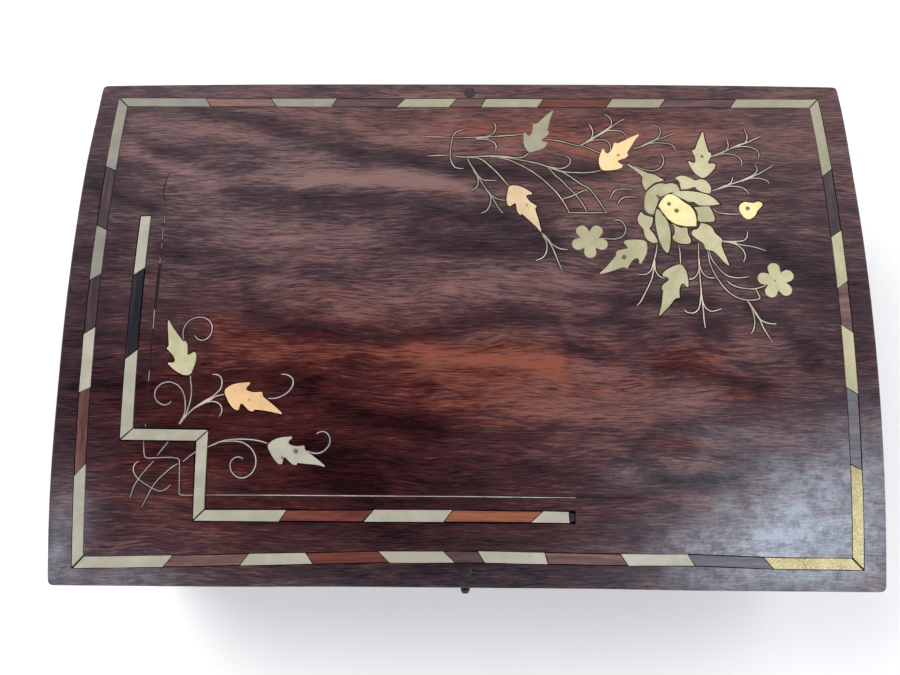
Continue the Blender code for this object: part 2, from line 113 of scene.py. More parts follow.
class Nodes:
    """Shorthand for wiring the nodes of a material or of the world."""

    def __init__(self, tree):
        self.tree = tree

    def add(self, kind, **settings):
        node = self.tree.nodes.new("ShaderNode" + kind)
        for key, value in settings.items():
            setattr(node, key, value)
        return node

    def feed(self, socket, value):
        if isinstance(value, bpy.types.NodeSocket):
            self.tree.links.new(value, socket)
        elif hasattr(socket.default_value, "__len__") and len(value) < len(socket.default_value):
            socket.default_value = (*value, 1)
        else:
            socket.default_value = value

    def calc(self, operation, *values, clamp=False):
        node = self.add("Math", operation=operation, use_clamp=clamp)
        for socket, value in zip(node.inputs, values):
            self.feed(socket, value)
        return node.outputs[0]

    def blend(self, factor, first, second):
        node = self.add("Mix", data_type="RGBA")
        self.feed(node.inputs[0], factor)
        self.feed(node.inputs[6], first)
        self.feed(node.inputs[7], second)
        return node.outputs[2]

    def ramp(self, value, start, end, low=0.0, high=1.0):
        node = self.add("MapRange", interpolation_type="SMOOTHSTEP")
        for socket, item in zip(node.inputs, (value, start, end, low, high)):
            self.feed(socket, item)
        return node.outputs[0]

    def scaled(self, coords, scale, turn=(0, 0, 0)):
        node = self.add("Mapping")
        self.feed(node.inputs["Vector"], coords)
        node.inputs["Scale"].default_value = scale
        node.inputs["Rotation"].default_value = turn
        return node.outputs[0]

    def cloud(self, coords, scale, detail=2.0, roughness=0.5):
        node = self.add("TexNoise")
        self.feed(node.inputs["Vector"], coords)
        node.inputs["Scale"].default_value = scale
        node.inputs["Detail"].default_value = detail
        node.inputs["Roughness"].default_value = roughness
        return node.outputs[0]

    def tones(self, value, stops):
        """A colour ramp: places between 0 and 1, each with its colour."""
        node = self.add("ValToRGB")
        elements = node.color_ramp.elements
        elements.remove(elements[1])
        for i, (place, colour) in enumerate(stops):
            stop = elements[0] if i == 0 else elements.new(place)
            stop.position = place
            stop.color = (*colour, 1)
        self.feed(node.inputs[0], value)
        return node.outputs[0]

    def here(self):
        return self.add("TexCoord").outputs["Object"]

    def mark(self, name):
        return self.add("Attribute", attribute_name=name).outputs["Fac"]


def make_world():
    """An even studio: pale all round, darker straight above, with one window to the front right."""
    world = bpy.data.worlds.new("studio")
    bpy.context.scene.world = world
    world.use_nodes = True
    n = Nodes(world.node_tree)
    direction = n.add("TexCoord").outputs["Generated"]
    colour = (1.0, 0.99, 0.99, 1)
    patches = (
        ((-0.14, -0.05, 0.98), 51, 25, (0.05, 0.045, 0.05)),
        ((0.56, -0.44, 0.76), 22, 5, (2.0, 2.2, 2.6)),
    )
    for centre, outer, inner, tint in patches:
        dot = n.add("VectorMath", operation="DOT_PRODUCT")
        n.feed(dot.inputs[0], direction)
        dot.inputs[1].default_value = Vector(centre).normalized()
        limits = [math.cos(math.radians(angle)) for angle in (outer, inner)]
        edge = n.ramp(dot.outputs["Value"], *limits)
        colour = n.blend(edge, colour, tint)
    background = world.node_tree.nodes["Background"]
    n.feed(background.inputs["Color"], colour)
    background.inputs["Strength"].default_value = 1.5


def make_key_light():
    """A large soft lamp at the back left, kept out of the gloss, where it would veil the lid."""
    data = bpy.data.lights.new("key", "AREA")
    data.shape = "DISK"
    data.size = 0.5
    data.energy = 5.0
    data.color = (1.0, 0.97, 0.94)
    place, aim = Vector((-0.5, 0.35, 0.9)), Vector((0, 0, 0.05))
    light = bpy.data.objects.new("key", data)
    light.location = place
    light.rotation_euler = (aim - place).to_track_quat("-Z", "Y").to_euler()
    light.visible_glossy = False
    bpy.context.scene.collection.objects.link(light)


def make_floor():
    bpy.ops.mesh.primitive_plane_add(size=6, location=(0, 0, 0))
    floor = bpy.context.object
    floor.name = "floor"
    material = bpy.data.materials.new("studio_floor")
    material.use_nodes = True
    n = Nodes(material.node_tree)
    shader = material.node_tree.nodes["Principled BSDF"]
    grain = n.cloud(n.here(), 40, 4)
    n.feed(shader.inputs["Base Color"], n.blend(grain, (0.93, 0.93, 0.93), (0.97, 0.97, 0.97)))
    shader.inputs["Roughness"].default_value = 0.9
    shader.inputs["Specular IOR Level"].default_value = 0.1
    floor.data.materials.append(material)


# ---------------------------------------------------------------- materials

def new_material(name, roughness, metallic=0.0, specular=0.5):
    material = bpy.data.materials.new(name)
    material.use_nodes = True
    shader = material.node_tree.nodes["Principled BSDF"]
    shader.inputs["Roughness"].default_value = roughness
    shader.inputs["Metallic"].default_value = metallic
    shader.inputs["Specular IOR Level"].default_value = specular
    return material, Nodes(material.node_tree), shader


def bumped(n, shader, height, strength, distance):
    node = n.add("Bump")
    node.inputs["Strength"].default_value = strength
    node.inputs["Distance"].default_value = distance
    n.feed(node.inputs["Height"], height)
    n.feed(shader.inputs["Normal"], node.outputs[0])


def grain_of(n, coords):
    """Fibres, fine lines and short dark pores that run along X."""
    fibre = n.cloud(n.scaled(coords, (120, 1800, 1800)), 1, 3, 0.6)
    fine = n.cloud(n.scaled(coords, (240, 3000, 3000)), 1, 3, 0.65)
    pores = n.ramp(n.cloud(n.scaled(coords, (140, 2100, 2100)), 1, 2, 0.5), 0.60, 0.72)
    return fibre, fine, pores


# Bluish grey of wax bloom on the finish, made bright as a painted sheen: the reflection of a window painted
# into the lid's colour.
BLOOM_AND_PAINTED_SHEEN = (0.34, 0.39, 0.45)
MAUVE_TONES = ((0.0, (0.010, 0.008, 0.012)), (0.5, (0.048, 0.031, 0.037)), (1.0, (0.18, 0.112, 0.106)))
REDDISH_TONES = ((0.0, (0.008, 0.0015, 0.002)), (0.5, (0.050, 0.011, 0.011)), (1.0, (0.20, 0.062, 0.040)))


def make_lid_wood():
    """Figured rosewood of the lid. The figure is in the panel's own marks, the grain in noise."""
    material, n, shader = new_material("rosewood_lid", 0.3, specular=0.15)
    here = n.add("SeparateXYZ")
    n.feed(here.inputs[0], n.here())
    bent = n.add("CombineXYZ")
    n.feed(bent.inputs[0], here.outputs[0])
    n.feed(bent.inputs[1], n.calc("ADD", here.outputs[1], n.mark("flow")))
    n.feed(bent.inputs[2], here.outputs[2])
    fibre, fine, pores = grain_of(n, bent.outputs[0])
    broad = n.cloud(n.scaled(bent.outputs[0], (26, 170, 170)), 1, 3, 0.6)
    tint = n.cloud(n.scaled(bent.outputs[0], (60, 900, 900)), 1, 3, 0.6)
    knots = n.ramp(n.cloud(n.scaled(bent.outputs[0], (90, 1000, 1000)), 1, 3, 0.6), 0.58, 0.72)
    tone = n.mark("light")
    for streak, weight in ((broad, 0.75), (fibre, 1.1), (fine, 1.15)):
        tone = n.calc("ADD", tone, n.calc("MULTIPLY", n.calc("SUBTRACT", streak, 0.5), weight))
    tone = n.calc("SUBTRACT", tone, n.calc("MULTIPLY", knots, 0.16))
    tone = n.calc("SUBTRACT", tone, n.calc("MULTIPLY", pores, 0.26), clamp=True)
    mauve = n.tones(tone, MAUVE_TONES)
    red = n.tones(tone, REDDISH_TONES)
    tinge = n.calc("MULTIPLY", n.calc("SUBTRACT", tint, 0.5), 1.1)
    colour = n.blend(n.calc("ADD", n.mark("red"), tinge, clamp=True), mauve, red)
    patchy = n.calc("MULTIPLY", n.cloud(n.here(), 260, 5, 0.65), 1.2)
    for cloud, weight in ((n.cloud(n.here(), 900, 3, 0.7), 0.6), (fine, 0.8)):
        patchy = n.calc("ADD", patchy, n.calc("MULTIPLY", cloud, weight))
    # Bloom and painted sheen: the colour turns bluish grey where the marks ask. Part of it is bloom on the
    # wax, and part is the window's reflection painted in.
    sheen_amount = n.calc("MULTIPLY", n.mark("bloom_and_sheen"), n.ramp(patchy, 1.0, 1.6, 0.5, 1.45), clamp=True)
    n.feed(shader.inputs["Base Color"], n.blend(sheen_amount, colour, BLOOM_AND_PAINTED_SHEEN))
    ridges = n.calc("MULTIPLY", fine, 0.4)
    smear = n.calc("ADD", n.cloud(n.here(), 26, 3), ridges)
    n.feed(shader.inputs["Roughness"], n.ramp(smear, 0.4, 1.0, 0.23, 0.38))
    height = n.calc("SUBTRACT", ridges, pores)
    bumped(n, shader, height, 0.22, 0.00008)
    return material


def make_wood(name, turn, tones, seed, band=(9, 130, 130)):
    """Plain rosewood for the case and the pieces between the strips, its grain turned to suit."""
    material, n, shader = new_material(name, 0.38, specular=0.3)
    coords = n.scaled(n.here(), (1, 1, 1), turn)
    coords.node.inputs["Location"].default_value = (seed, seed * 0.37, seed * 0.71)
    warp = n.cloud(n.scaled(coords, (7, 24, 24)), 1, 2)
    shifted = n.add("VectorMath", operation="ADD")
    n.feed(shifted.inputs[0], coords)
    push = n.add("CombineXYZ")
    n.feed(push.inputs[1], n.calc("MULTIPLY", n.calc("SUBTRACT", warp, 0.5), 0.03))
    n.feed(push.inputs[2], n.calc("MULTIPLY", n.calc("SUBTRACT", warp, 0.5), 0.02))
    n.feed(shifted.inputs[1], push.outputs[0])
    coords = shifted.outputs[0]
    fibre, fine, pores = grain_of(n, coords)
    bands = n.cloud(n.scaled(coords, band), 1, 6, 0.66)
    tone = n.calc("ADD", n.calc("MULTIPLY", bands, 1.5), n.calc("MULTIPLY", fibre, 0.6))
    tone = n.calc("ADD", tone, n.calc("MULTIPLY", fine, 0.5))
    tone = n.calc("SUBTRACT", tone, n.calc("MULTIPLY", pores, 0.15))
    n.feed(shader.inputs["Base Color"], n.tones(n.calc("DIVIDE", tone, 2.6), zip((0.28, 0.5, 0.75), tones)))
    smear = n.cloud(coords, 30, 3)
    n.feed(shader.inputs["Roughness"], n.ramp(smear, 0.3, 0.7, 0.3, 0.46))
    bumped(n, shader, n.calc("SUBTRACT", n.calc("MULTIPLY", fine, 0.4), pores), 0.25, 0.00008)
    return material


def make_metal(name, colour, dark, roughness, metallic, speckle=0.0, spots=(0, 0, 0)):
    """Sheet metal with cloudy tarnish, fine scratches and small pits."""
    material, n, shader = new_material(name, roughness, metallic)
    here = n.here()
    tarnish = n.cloud(here, 160, 4, 0.6)
    wide = n.cloud(here, 28, 3, 0.5)
    tint = n.blend(n.ramp(n.calc("ADD", tarnish, n.calc("MULTIPLY", wide, 0.8)), 0.7, 1.15), dark, colour)
    pits = n.ramp(n.cloud(here, 2400, 2, 0.5), 0.66, 0.74)
    tint = n.blend(n.calc("MULTIPLY", pits, 0.35), tint, [0.35 * c for c in dark])
    if speckle:
        flecks = n.ramp(n.cloud(here, 2300, 2, 0.6), 0.50, 0.68)
        tint = n.blend(n.calc("MULTIPLY", flecks, speckle), tint, spots)
    n.feed(shader.inputs["Base Color"], tint)
    one_way = n.cloud(n.scaled(here, (300, 5200, 5200), (0, 0, 0.5)), 1, 2, 0.6)
    other_way = n.cloud(n.scaled(here, (260, 4600, 4600), (0, 0, -0.7)), 1, 2, 0.6)
    scratches = n.calc("ADD", n.ramp(one_way, 0.60, 0.74), n.ramp(other_way, 0.62, 0.76))
    dulled = n.calc("ADD", tarnish, n.calc("MULTIPLY", scratches, 0.2))
    n.feed(shader.inputs["Roughness"], n.ramp(dulled, 0.3, 0.9, roughness - 0.07, roughness + 0.1))
    height = n.calc("SUBTRACT", n.calc("MULTIPLY", wide, 0.8), n.calc("MULTIPLY", scratches, 0.2))
    bumped(n, shader, n.calc("SUBTRACT", height, n.calc("MULTIPLY", pits, 0.5)), 0.3, 0.00006)
    return material


def make_velvet():
    """Short wine-red pile, brushed into soft patches."""
    material, n, shader = new_material("velvet_pile", 0.95, specular=0.1)
    here = n.here()
    pile = n.cloud(here, 2200, 2, 0.7)
    brushed = n.cloud(here, 30, 3, 0.6)
    deep = n.blend(n.ramp(brushed, 0.35, 0.65), (0.085, 0.004, 0.010), (0.17, 0.010, 0.022))
    n.feed(shader.inputs["Base Color"], n.blend(n.ramp(pile, 0.35, 0.7), deep, (0.25, 0.02, 0.04)))
    shader.inputs["Sheen Weight"].default_value = 0.8
    shader.inputs["Sheen Roughness"].default_value = 0.35
    shader.inputs["Sheen Tint"].default_value = (0.95, 0.35, 0.4, 1)
    bumped(n, shader, n.calc("ADD", pile, n.calc("MULTIPLY", brushed, 2.0)), 0.7, 0.0003)
    return material


def make_mastic():
    """Dark filler in the saw lines round the inlay."""
    material, n, shader = new_material("dark_mastic", 0.6, specular=0.15)
    crumbs = n.cloud(n.here(), 1500, 3, 0.6)
    n.feed(shader.inputs["Base Color"], n.blend(crumbs, (0.006, 0.004, 0.004), (0.022, 0.014, 0.013)))
    bumped(n, shader, crumbs, 0.4, 0.0001)
    return material


LID_WOOD = make_lid_wood()
RED_TONES = ((0.014, 0.005, 0.005), (0.062, 0.020, 0.015), (0.16, 0.055, 0.032))
ALONG, ACROSS = (0, 0, 0), (0, 0, math.pi / 2)
CASE_WOOD = make_wood("rosewood_case", ALONG, RED_TONES, 3.1)
CROSS_WOOD = make_wood("rosewood_sides", ACROSS, RED_TONES, 7.7)
FILL_BAND = (26, 560, 560)
FILL_TONES = {
    "orange": (ALONG, 1.3, ((0.05, 0.012, 0.006), (0.22, 0.068, 0.032), (0.44, 0.17, 0.085))),
    "red": (ALONG, 4.3, ((0.02, 0.005, 0.004), (0.1, 0.027, 0.019), (0.22, 0.07, 0.046))),
    "rose": (ALONG, 5.2, ((0.028, 0.013, 0.013), (0.13, 0.068, 0.062), (0.29, 0.16, 0.14))),
    "brown": (ALONG, 6.1, ((0.014, 0.008, 0.009), (0.072, 0.039, 0.039), (0.18, 0.1, 0.09))),
    "dark": (ACROSS, 8.2, ((0.01, 0.007, 0.01), (0.042, 0.027, 0.033), (0.12, 0.075, 0.078))),
    "black": (ACROSS, 9.4, ((0.003, 0.004, 0.008), (0.011, 0.011, 0.017), (0.07, 0.045, 0.048))),
    # A bluish grey tone for the two pieces at the front right: painted sheen, the window's reflection
    # painted into the wood.
    "painted_sheen": (ALONG, 3.3, ((0.035, 0.033, 0.042), (0.125, 0.12, 0.14), (0.27, 0.27, 0.3))),
    "cross": (ACROSS, 2.2, ((0.017, 0.007, 0.007), (0.095, 0.043, 0.04), (0.23, 0.11, 0.09))),
}
FILL_WOODS = {
    tone: make_wood("fill_" + tone, turn, tones, seed, FILL_BAND)
    for tone, (turn, seed, tones) in FILL_TONES.items()
}
BRASS = make_metal("brass_dulled", (0.43, 0.415, 0.335), (0.35, 0.335, 0.26), 0.5, 0.2)
# The dulled brass made about half as bright, as painted shade, for strips at the back left.
BRASS_DEEP_PAINTED_SHADE = make_metal("brass_deep_painted_shade", (0.245, 0.235, 0.195), (0.19, 0.18, 0.145), 0.5, 0.2)
# Speckled brass darkened as painted shade, for the strips at the back right and one leaf near the back.
BRASS_SOFT_PAINTED_SHADE = make_metal(
    "brass_soft_painted_shade", (0.32, 0.305, 0.215), (0.25, 0.235, 0.155), 0.48, 0.2, 0.15, (0.5, 0.48, 0.36)
)
BRASS_WARM = make_metal(
    "brass_warm", (0.47, 0.445, 0.285), (0.36, 0.34, 0.195), 0.45, 0.25, 0.3, (0.68, 0.64, 0.40)
)
BRASS_PALE = make_metal(
    "brass_pale", (0.55, 0.52, 0.32), (0.42, 0.395, 0.22), 0.45, 0.25, 0.35, (0.76, 0.72, 0.45)
)
BRASS_GOLD = make_metal(
    "brass_speckled", (0.44, 0.375, 0.175), (0.26, 0.21, 0.085), 0.36, 0.5, 0.75, (0.74, 0.66, 0.38)
)
BRASS_BRIGHT = make_metal(
    "brass_polished", (0.85, 0.77, 0.40), (0.72, 0.63, 0.28), 0.42, 0.2, 0.25, (0.95, 0.90, 0.6)
)
COPPER = make_metal(
    "copper_sheet", (0.74, 0.49, 0.25), (0.58, 0.36, 0.16), 0.45, 0.2, 0.2, (0.85, 0.65, 0.40)
)
COPPER_PALE = make_metal(
    "copper_pale", (0.90, 0.68, 0.37), (0.76, 0.53, 0.26), 0.45, 0.2, 0.3, (0.98, 0.84, 0.55)
)
COPPER_ROSE = make_metal(
    "copper_rose", (0.70, 0.53, 0.335), (0.58, 0.42, 0.24), 0.45, 0.2, 0.3, (0.85, 0.70, 0.50)
)
WIRE = make_metal("wire_silvery", (0.56, 0.48, 0.45), (0.30, 0.24, 0.225), 0.4, 0.3)
WIRE_DULL = make_metal("wire_dull", (0.60, 0.56, 0.44), (0.30, 0.27, 0.20), 0.45, 0.3)
NAIL_PALE = make_metal("nail_steel", (0.40, 0.37, 0.29), (0.24, 0.22, 0.17), 0.45, 0.3)
NAIL = make_metal("nail_bronze", (0.24, 0.19, 0.085), (0.13, 0.10, 0.04), 0.45, 0.4)
HARDWARE = make_metal("hardware_aged", (0.60, 0.44, 0.17), (0.36, 0.24, 0.08), 0.36, 0.95)
DARK_BRASS = make_metal("hardware_dark", (0.06, 0.05, 0.04), (0.02, 0.018, 0.015), 0.45, 0.7)
VELVET = make_velvet()
MASTIC = make_mastic()
PLUG_TONES = ((0.008, 0.006, 0.008), (0.020, 0.015, 0.018), (0.06, 0.045, 0.048))
PLUG = make_wood("plug_dark", ALONG, PLUG_TONES, 5.5)


# ---------------------------------------------------------------- workshop helpers

def pick(*objs):
    """Selects only these, the first one active."""
    bpy.ops.object.select_all(action="DESELECT")
    for obj in objs:
        obj.select_set(True)
    bpy.context.view_layer.objects.active = objs[0]


@contextlib.contextmanager
def editing(obj):
    """Opens a mesh for editing, with all of it selected."""
    pick(obj)
    bpy.ops.object.mode_set(mode="EDIT")
    bpy.ops.mesh.select_all(action="SELECT")
    yield
    bpy.ops.object.mode_set(mode="OBJECT")


def arch_height(y, drop=0.0):
    return ARCH_CENTRE_Z + math.sqrt((ARCH_RADIUS - drop) ** 2 - y * y)


def lay_on_arch(obj):
    """Bends a flat piece made at the crown of the lid down onto its arch."""
    for vertex in obj.data.vertices:
        vertex.co.z += arch_height(vertex.co.y) - TOP


def finish_piece(obj, name, material, body, angle=35):
    obj.name = name
    obj.data.name = name
    obj.data.materials.clear()
    obj.data.materials.append(material)
    pick(obj)
    bpy.ops.object.transform_apply(location=True, rotation=True, scale=True)
    bpy.ops.object.shade_smooth_by_angle(angle=math.radians(angle))
    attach(obj, body)
    return obj


def modify(obj, kind, **settings):
    """Adds a modifier and applies it."""
    modifier = obj.modifiers.new(kind.lower(), kind)
    for key, value in settings.items():
        setattr(modifier, key, value)
    pick(obj)
    bpy.ops.object.modifier_apply(modifier=modifier.name)


def outline_of(points, corners=""):
    """A closed outline in metres. corners holds a c for each sharp corner; left out, all are sharp."""
    marks = corners or "c" * len(points)
    return [(x * MM, y * MM, mark == "c") for (x, y), mark in zip(points, marks)]


def sheet_from(name, outlines, thickness, top, ease, spread=0.0):
    """A flat piece cut to its outlines, with its top at a height above the crown."""
    curve = bpy.data.curves.new(name, "CURVE")
    curve.dimensions = "2D"
    curve.fill_mode = "BOTH"
    curve.extrude = thickness / 2 - ease
    curve.bevel_depth = ease
    curve.bevel_resolution = 1
    curve.offset = spread - ease
    curve.resolution_u = OUTLINE_STEPS
    for outline in outlines:
        spline = curve.splines.new("BEZIER")
        spline.bezier_points.add(len(outline) - 1)
        for point, (x, y, sharp) in zip(spline.bezier_points, outline):
            point.co = (x, y, 0)
            kind = "VECTOR" if sharp else "AUTO"
            point.handle_left_type = kind
            point.handle_right_type = kind
        spline.use_cyclic_u = True
    obj = bpy.data.objects.new(name, curve)
    bpy.context.scene.collection.objects.link(obj)
    pick(obj)
    bpy.ops.object.convert(target="MESH")
    obj = bpy.context.object
    obj.location.z = TOP + top - thickness / 2
    bpy.ops.object.transform_apply(location=True, rotation=True, scale=True)
    with editing(obj):
        bpy.ops.mesh.remove_doubles(threshold=WELD)
        bpy.ops.mesh.normals_make_consistent(inside=False)
    return obj


def slice_across(obj, step):
    """Cuts a piece into narrow bands across Y, so that it can bend."""
    ys = [v.co.y for v in obj.data.vertices]
    cuts = range(math.floor(min(ys) / step) + 1, math.ceil(max(ys) / step))
    mesh = bmesh.new()
    mesh.from_mesh(obj.data)
    for i in cuts:
        geometry = mesh.verts[:] + mesh.edges[:] + mesh.faces[:]
        place = (0, i * step + 1e-5, 0)  # a little off the round figures, where vertices lie
        bmesh.ops.bisect_plane(mesh, geom=geometry, plane_co=place, plane_no=(0, 1, 0))
    mesh.to_mesh(obj.data)
    mesh.free()


POCKETS = []


def plate(name, points, corners="", material=BRASS, proud=PLATE_PROUD, pocket=True):
    """A plate let into the lid. It asks for a pocket of its own unless it lies in a channel."""
    outline = outline_of(points, corners)
    obj = sheet_from(name, [outline], INLAY_THICKNESS, proud, PLATE_EASE)
    slice_across(obj, BEND_STEP)
    lay_on_arch(obj)
    if pocket:
        POCKETS.append(([outline], POCKET_MARGIN))
    return finish_piece(obj, name, material, "lid", 15)


# ---------------------------------------------------------------- border and stepped frame

FRONT_BOW = ((-120.7, -78.5), (-92, -77.9), (-67, -77.2), (-25, -76.1), (5, -75.9), (49, -76.4),
 (69, -76.3), (93, -77.1), (120.6, -77.2))


def front_y(x):
    """Outer edge of the front row of strips, which bows in towards the middle."""
    for (x0, y0), (x1, y1) in zip(FRONT_BOW, FRONT_BOW[1:]):
        if x <= x1:
            return y0 + (y1 - y0) * (x - x0) / (x1 - x0)
    return FRONT_BOW[-1][1]


LEFT_X, RIGHT_X, BACK_Y = -120.4, 120.4, 77.6

# Each strip's ends along its row: outer start, outer end, inner start, inner end. Two of a row's
# ends are mitred into the corners. Between the strips lie pieces of wood, one tone for each space.
ROWS = {
    "back": (
        ((-120.0, -90.6, -116.7, -88.2), (-67.6, -45.0, -65.4, -46.7), (-21.2, -3.8, -24.2, -6.2),
         (6.5, 26.1, 4.9, 24.0), (49.9, 68.1, 47.7, 65.7), (92.4, 120.0, 90.0, 116.7)),
        ("rose", "brown", "rose", "red", "brown"),
    ),
    "front": (
        ((-120.0, -92.7, -116.7, -89.7), (-68.9, -46.9, -66.1, -49.0), (-23.3, -3.5, -26.6, -6.9),
         (5.8, 24.9, 3.7, 23.8), (49.4, 69.3, 47.0, 67.1), (93.4, 120.0, 90.2, 116.7)),
        ("rose", "red", "brown", "rose", "painted_sheen"),
    ),
    "left": (
        ((-78.0, -50.8, -74.6, -47.2), (-25.4, -7.1, -23.6, -4.8), (10.7, 29.2, 12.8, 27.6),
         (50.8, 77.45, 49.1, 74.1)),
        ("cross", "dark", "dark"),
    ),
    "right": (
        ((-76.8, -47.7, -73.4, -45.9), (-24.4, -5.3, -22.2, -2.9), (11.5, 28.4, 9.0, 26.1),
         (50.4, 77.45, 47.8, 74.1)),
        ("painted_sheen", "rose", "dark"),
    ),
}
ROW_NAMES = {
    "back": (
        "border_back_left_long", "border_strip_back_1", "border_strip_back_2", "border_strip_back_3",
        "border_strip_back_4", "border_back_right_long",
    ),
    "front": (
        "border_front_left_long", "border_strip_front_1", "border_strip_front_2", "border_strip_front_3",
        "border_strip_front_4", "border_front_right_long",
    ),
    "left": (
        "border_front_left_short", "border_strip_left_1", "border_strip_left_2", "border_back_left_short",
    ),
    "right": (
        "border_front_right_short", "border_strip_right_1", "border_strip_right_2",
        "border_back_right_short",
    ),
}
# Metals of the strips. The painted-shade brasses darken strips at the back and at the left as painted
# shade.
STRIP_METALS = {
    "border_front_right_long": BRASS_GOLD,
    "border_front_right_short": BRASS_GOLD,
    "border_back_left_long": BRASS_DEEP_PAINTED_SHADE,
    "border_back_left_short": BRASS_DEEP_PAINTED_SHADE,
    "border_strip_back_1": BRASS_DEEP_PAINTED_SHADE,
    "border_strip_back_2": BRASS_SOFT_PAINTED_SHADE,
    "border_strip_back_3": BRASS_SOFT_PAINTED_SHADE,
    "border_strip_back_4": BRASS_SOFT_PAINTED_SHADE,
    "border_back_right_long": BRASS_SOFT_PAINTED_SHADE,
    "border_back_right_short": BRASS_SOFT_PAINTED_SHADE,
    "border_strip_left_2": BRASS_DEEP_PAINTED_SHADE,
    "border_strip_right_1": BRASS_WARM,
    "border_strip_right_2": BRASS_WARM,
}
SAW_LINE = 0.28


def row_point(row, along, inner, inset):
    """A point of a border row: how far along it, on its outer or inner edge."""
    depth = STRIP - inset if inner else inset
    if row == "back":
        return along, BACK_Y - depth
    if row == "front":
        return along, front_y(along) + depth
    if row == "left":
        return LEFT_X + depth, along
    return RIGHT_X - depth, along


def wander(points, amount):
    """Moves each point a little, as a saw in the hand does."""
    return [(x + random.uniform(-amount, amount), y + random.uniform(-amount, amount)) for x, y in points]


def along_row(row, start, end, inner, inset, steps):
    return [row_point(row, start + (end - start) * i / steps, inner, inset) for i in range(steps + 1)]


def row_piece(row, outer, inner, inset, steps):
    """A piece of a border row, from its ends on the outer and on the inner edge."""
    return along_row(row, *outer, False, inset, steps) + along_row(row, *inner, True, inset, steps)[::-1]


def channel_edge(inset):
    """The outer edge of the border's channel, or its inner edge where the inset is one strip."""
    left, width, back = LEFT_X + inset, RIGHT_X - LEFT_X - 2 * inset, BACK_Y - inset
    xs = [left + width * i / 24 for i in range(25)]
    return [(x, front_y(x) + inset) for x in xs] + [(RIGHT_X - inset, back), (left, back)]


def fill(name, points, tone):
    """A piece of wood between two strips."""
    plate(name, points, material=FILL_WOODS[tone], proud=FILL_PROUD, pocket=False)


def make_border():
    for row, (strips, tones) in ROWS.items():
        names = ROW_NAMES[row]
        for name, (outer0, outer1, inner0, inner1) in zip(names, strips):
            steps = 4 if row in ("back", "front") else 2
            points = wander(row_piece(row, (outer0, outer1), (inner0, inner1), 0, steps), 0.06)
            piece = plate(name, points, material=STRIP_METALS.get(name, BRASS), pocket=False)
            if name in frame["nodes"]:
                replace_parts(piece, name)
        for i, tone in enumerate(tones):
            before, after = strips[i], strips[i + 1]
            outer = (before[1] + SAW_LINE, after[0] - SAW_LINE)
            inner = (before[3] + SAW_LINE, after[2] - SAW_LINE)
            fill(f"border_fill_{row}_{i + 1}", wander(row_piece(row, outer, inner, 0.1, 3), 0.05), tone)
    edges = [outline_of(channel_edge(0)), outline_of(channel_edge(STRIP)[::-1])]
    POCKETS.append((edges, CHANNEL_MARGIN))


STEP_STRIPS = {
    "step_strip_1": ((-106.4, 32.4), (-103.2, 32.6), (-103.2, 14.9), (-106.5, 12.5)),
    "step_strip_2": ((-103.1, -11.9), (-106.7, -14.9), (-106.8, -39.3), (-103.1, -36.1)),
    "step_strip_3": ((-106.4, -39.8), (-102.9, -36.5), (-79.9, -36.6), (-83.4, -39.9)),
    "step_strip_4": ((-79.7, -36.9), (-83.1, -40.2), (-83.4, -63.6), (-80.2, -60.4)),
    "step_strip_5": ((-83.2, -64.0), (-79.9, -60.8), (-55.0, -60.7), (-57.3, -64.0)),
    "step_strip_6": ((-28.1, -60.4), (-31.2, -63.9), (-7.0, -63.8), (-4.3, -60.3)),
    "step_strip_7": ((23.6, -60.5), (19.9, -63.8), (31.4, -63.9), (31.2, -60.6)),
}
STEP_FILLS = (
    ("step_fill_1", "black", ((-103.3, 14.5), (-106.6, 12.1), (-106.7, -14.5), (-103.3, -11.6))),
    ("step_fill_2", "red", ((-54.7, -60.8), (-57.0, -63.8), (-31.6, -63.8), (-28.5, -60.6))),
    ("step_fill_3", "orange", ((-4.0, -60.5), (-6.7, -63.7), (19.5, -63.7), (23.2, -60.6))),
    ("step_fill_4", "black", ((31.6, -60.8), (31.7, -63.8), (33.0, -63.2), (33.0, -61.3))),
)
STEP_CHANNEL = ((-106.55, 32.5), (-106.85, -40.0), (-83.5, -40.15), (-83.5, -64.15), (33.1, -64.0),
 (33.1, -60.4), (-79.75, -60.5), (-79.6, -36.35), (-103.0, -36.25), (-103.05, 32.7))


def make_step_frame():
    for name, points in STEP_STRIPS.items():
        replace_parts(plate(name, wander(points, 0.05), pocket=False), name)
    for name, tone, points in STEP_FILLS:
        fill(name, points, tone)
    POCKETS.append(([outline_of(STEP_CHANNEL)], CHANNEL_MARGIN))


# ---------------------------------------------------------------- leaves and flowers

# One leaf from its base at 0 to its tip at 1, as (along, across), anticlockwise seen from above.
LEAF = ((0.0, 0.02), (0.03, 0.08), (0.09, 0.148), (0.19, 0.213), (0.27, 0.25), (0.325, 0.272),
 (0.337, 0.243), (0.305, 0.18), (0.315, 0.15), (0.365, 0.138), (0.43, 0.145), (0.5, 0.172), (0.567, 0.202),
 (0.588, 0.172), (0.6, 0.148), (0.67, 0.122), (0.78, 0.09), (0.9, 0.048), (1.0, 0.01), (1.0, -0.012),
 (0.88, -0.024), (0.75, -0.05), (0.63, -0.08), (0.563, -0.097), (0.556, -0.132), (0.5, -0.145),
 (0.44, -0.126), (0.38, -0.1), (0.34, -0.085), (0.315, -0.1), (0.322, -0.15), (0.327, -0.198),
 (0.295, -0.213), (0.23, -0.2), (0.155, -0.155), (0.08, -0.092), (0.015, -0.03))
LEAF_CORNERS = "c....cc.....c.c...cc...cc....c.c....c"

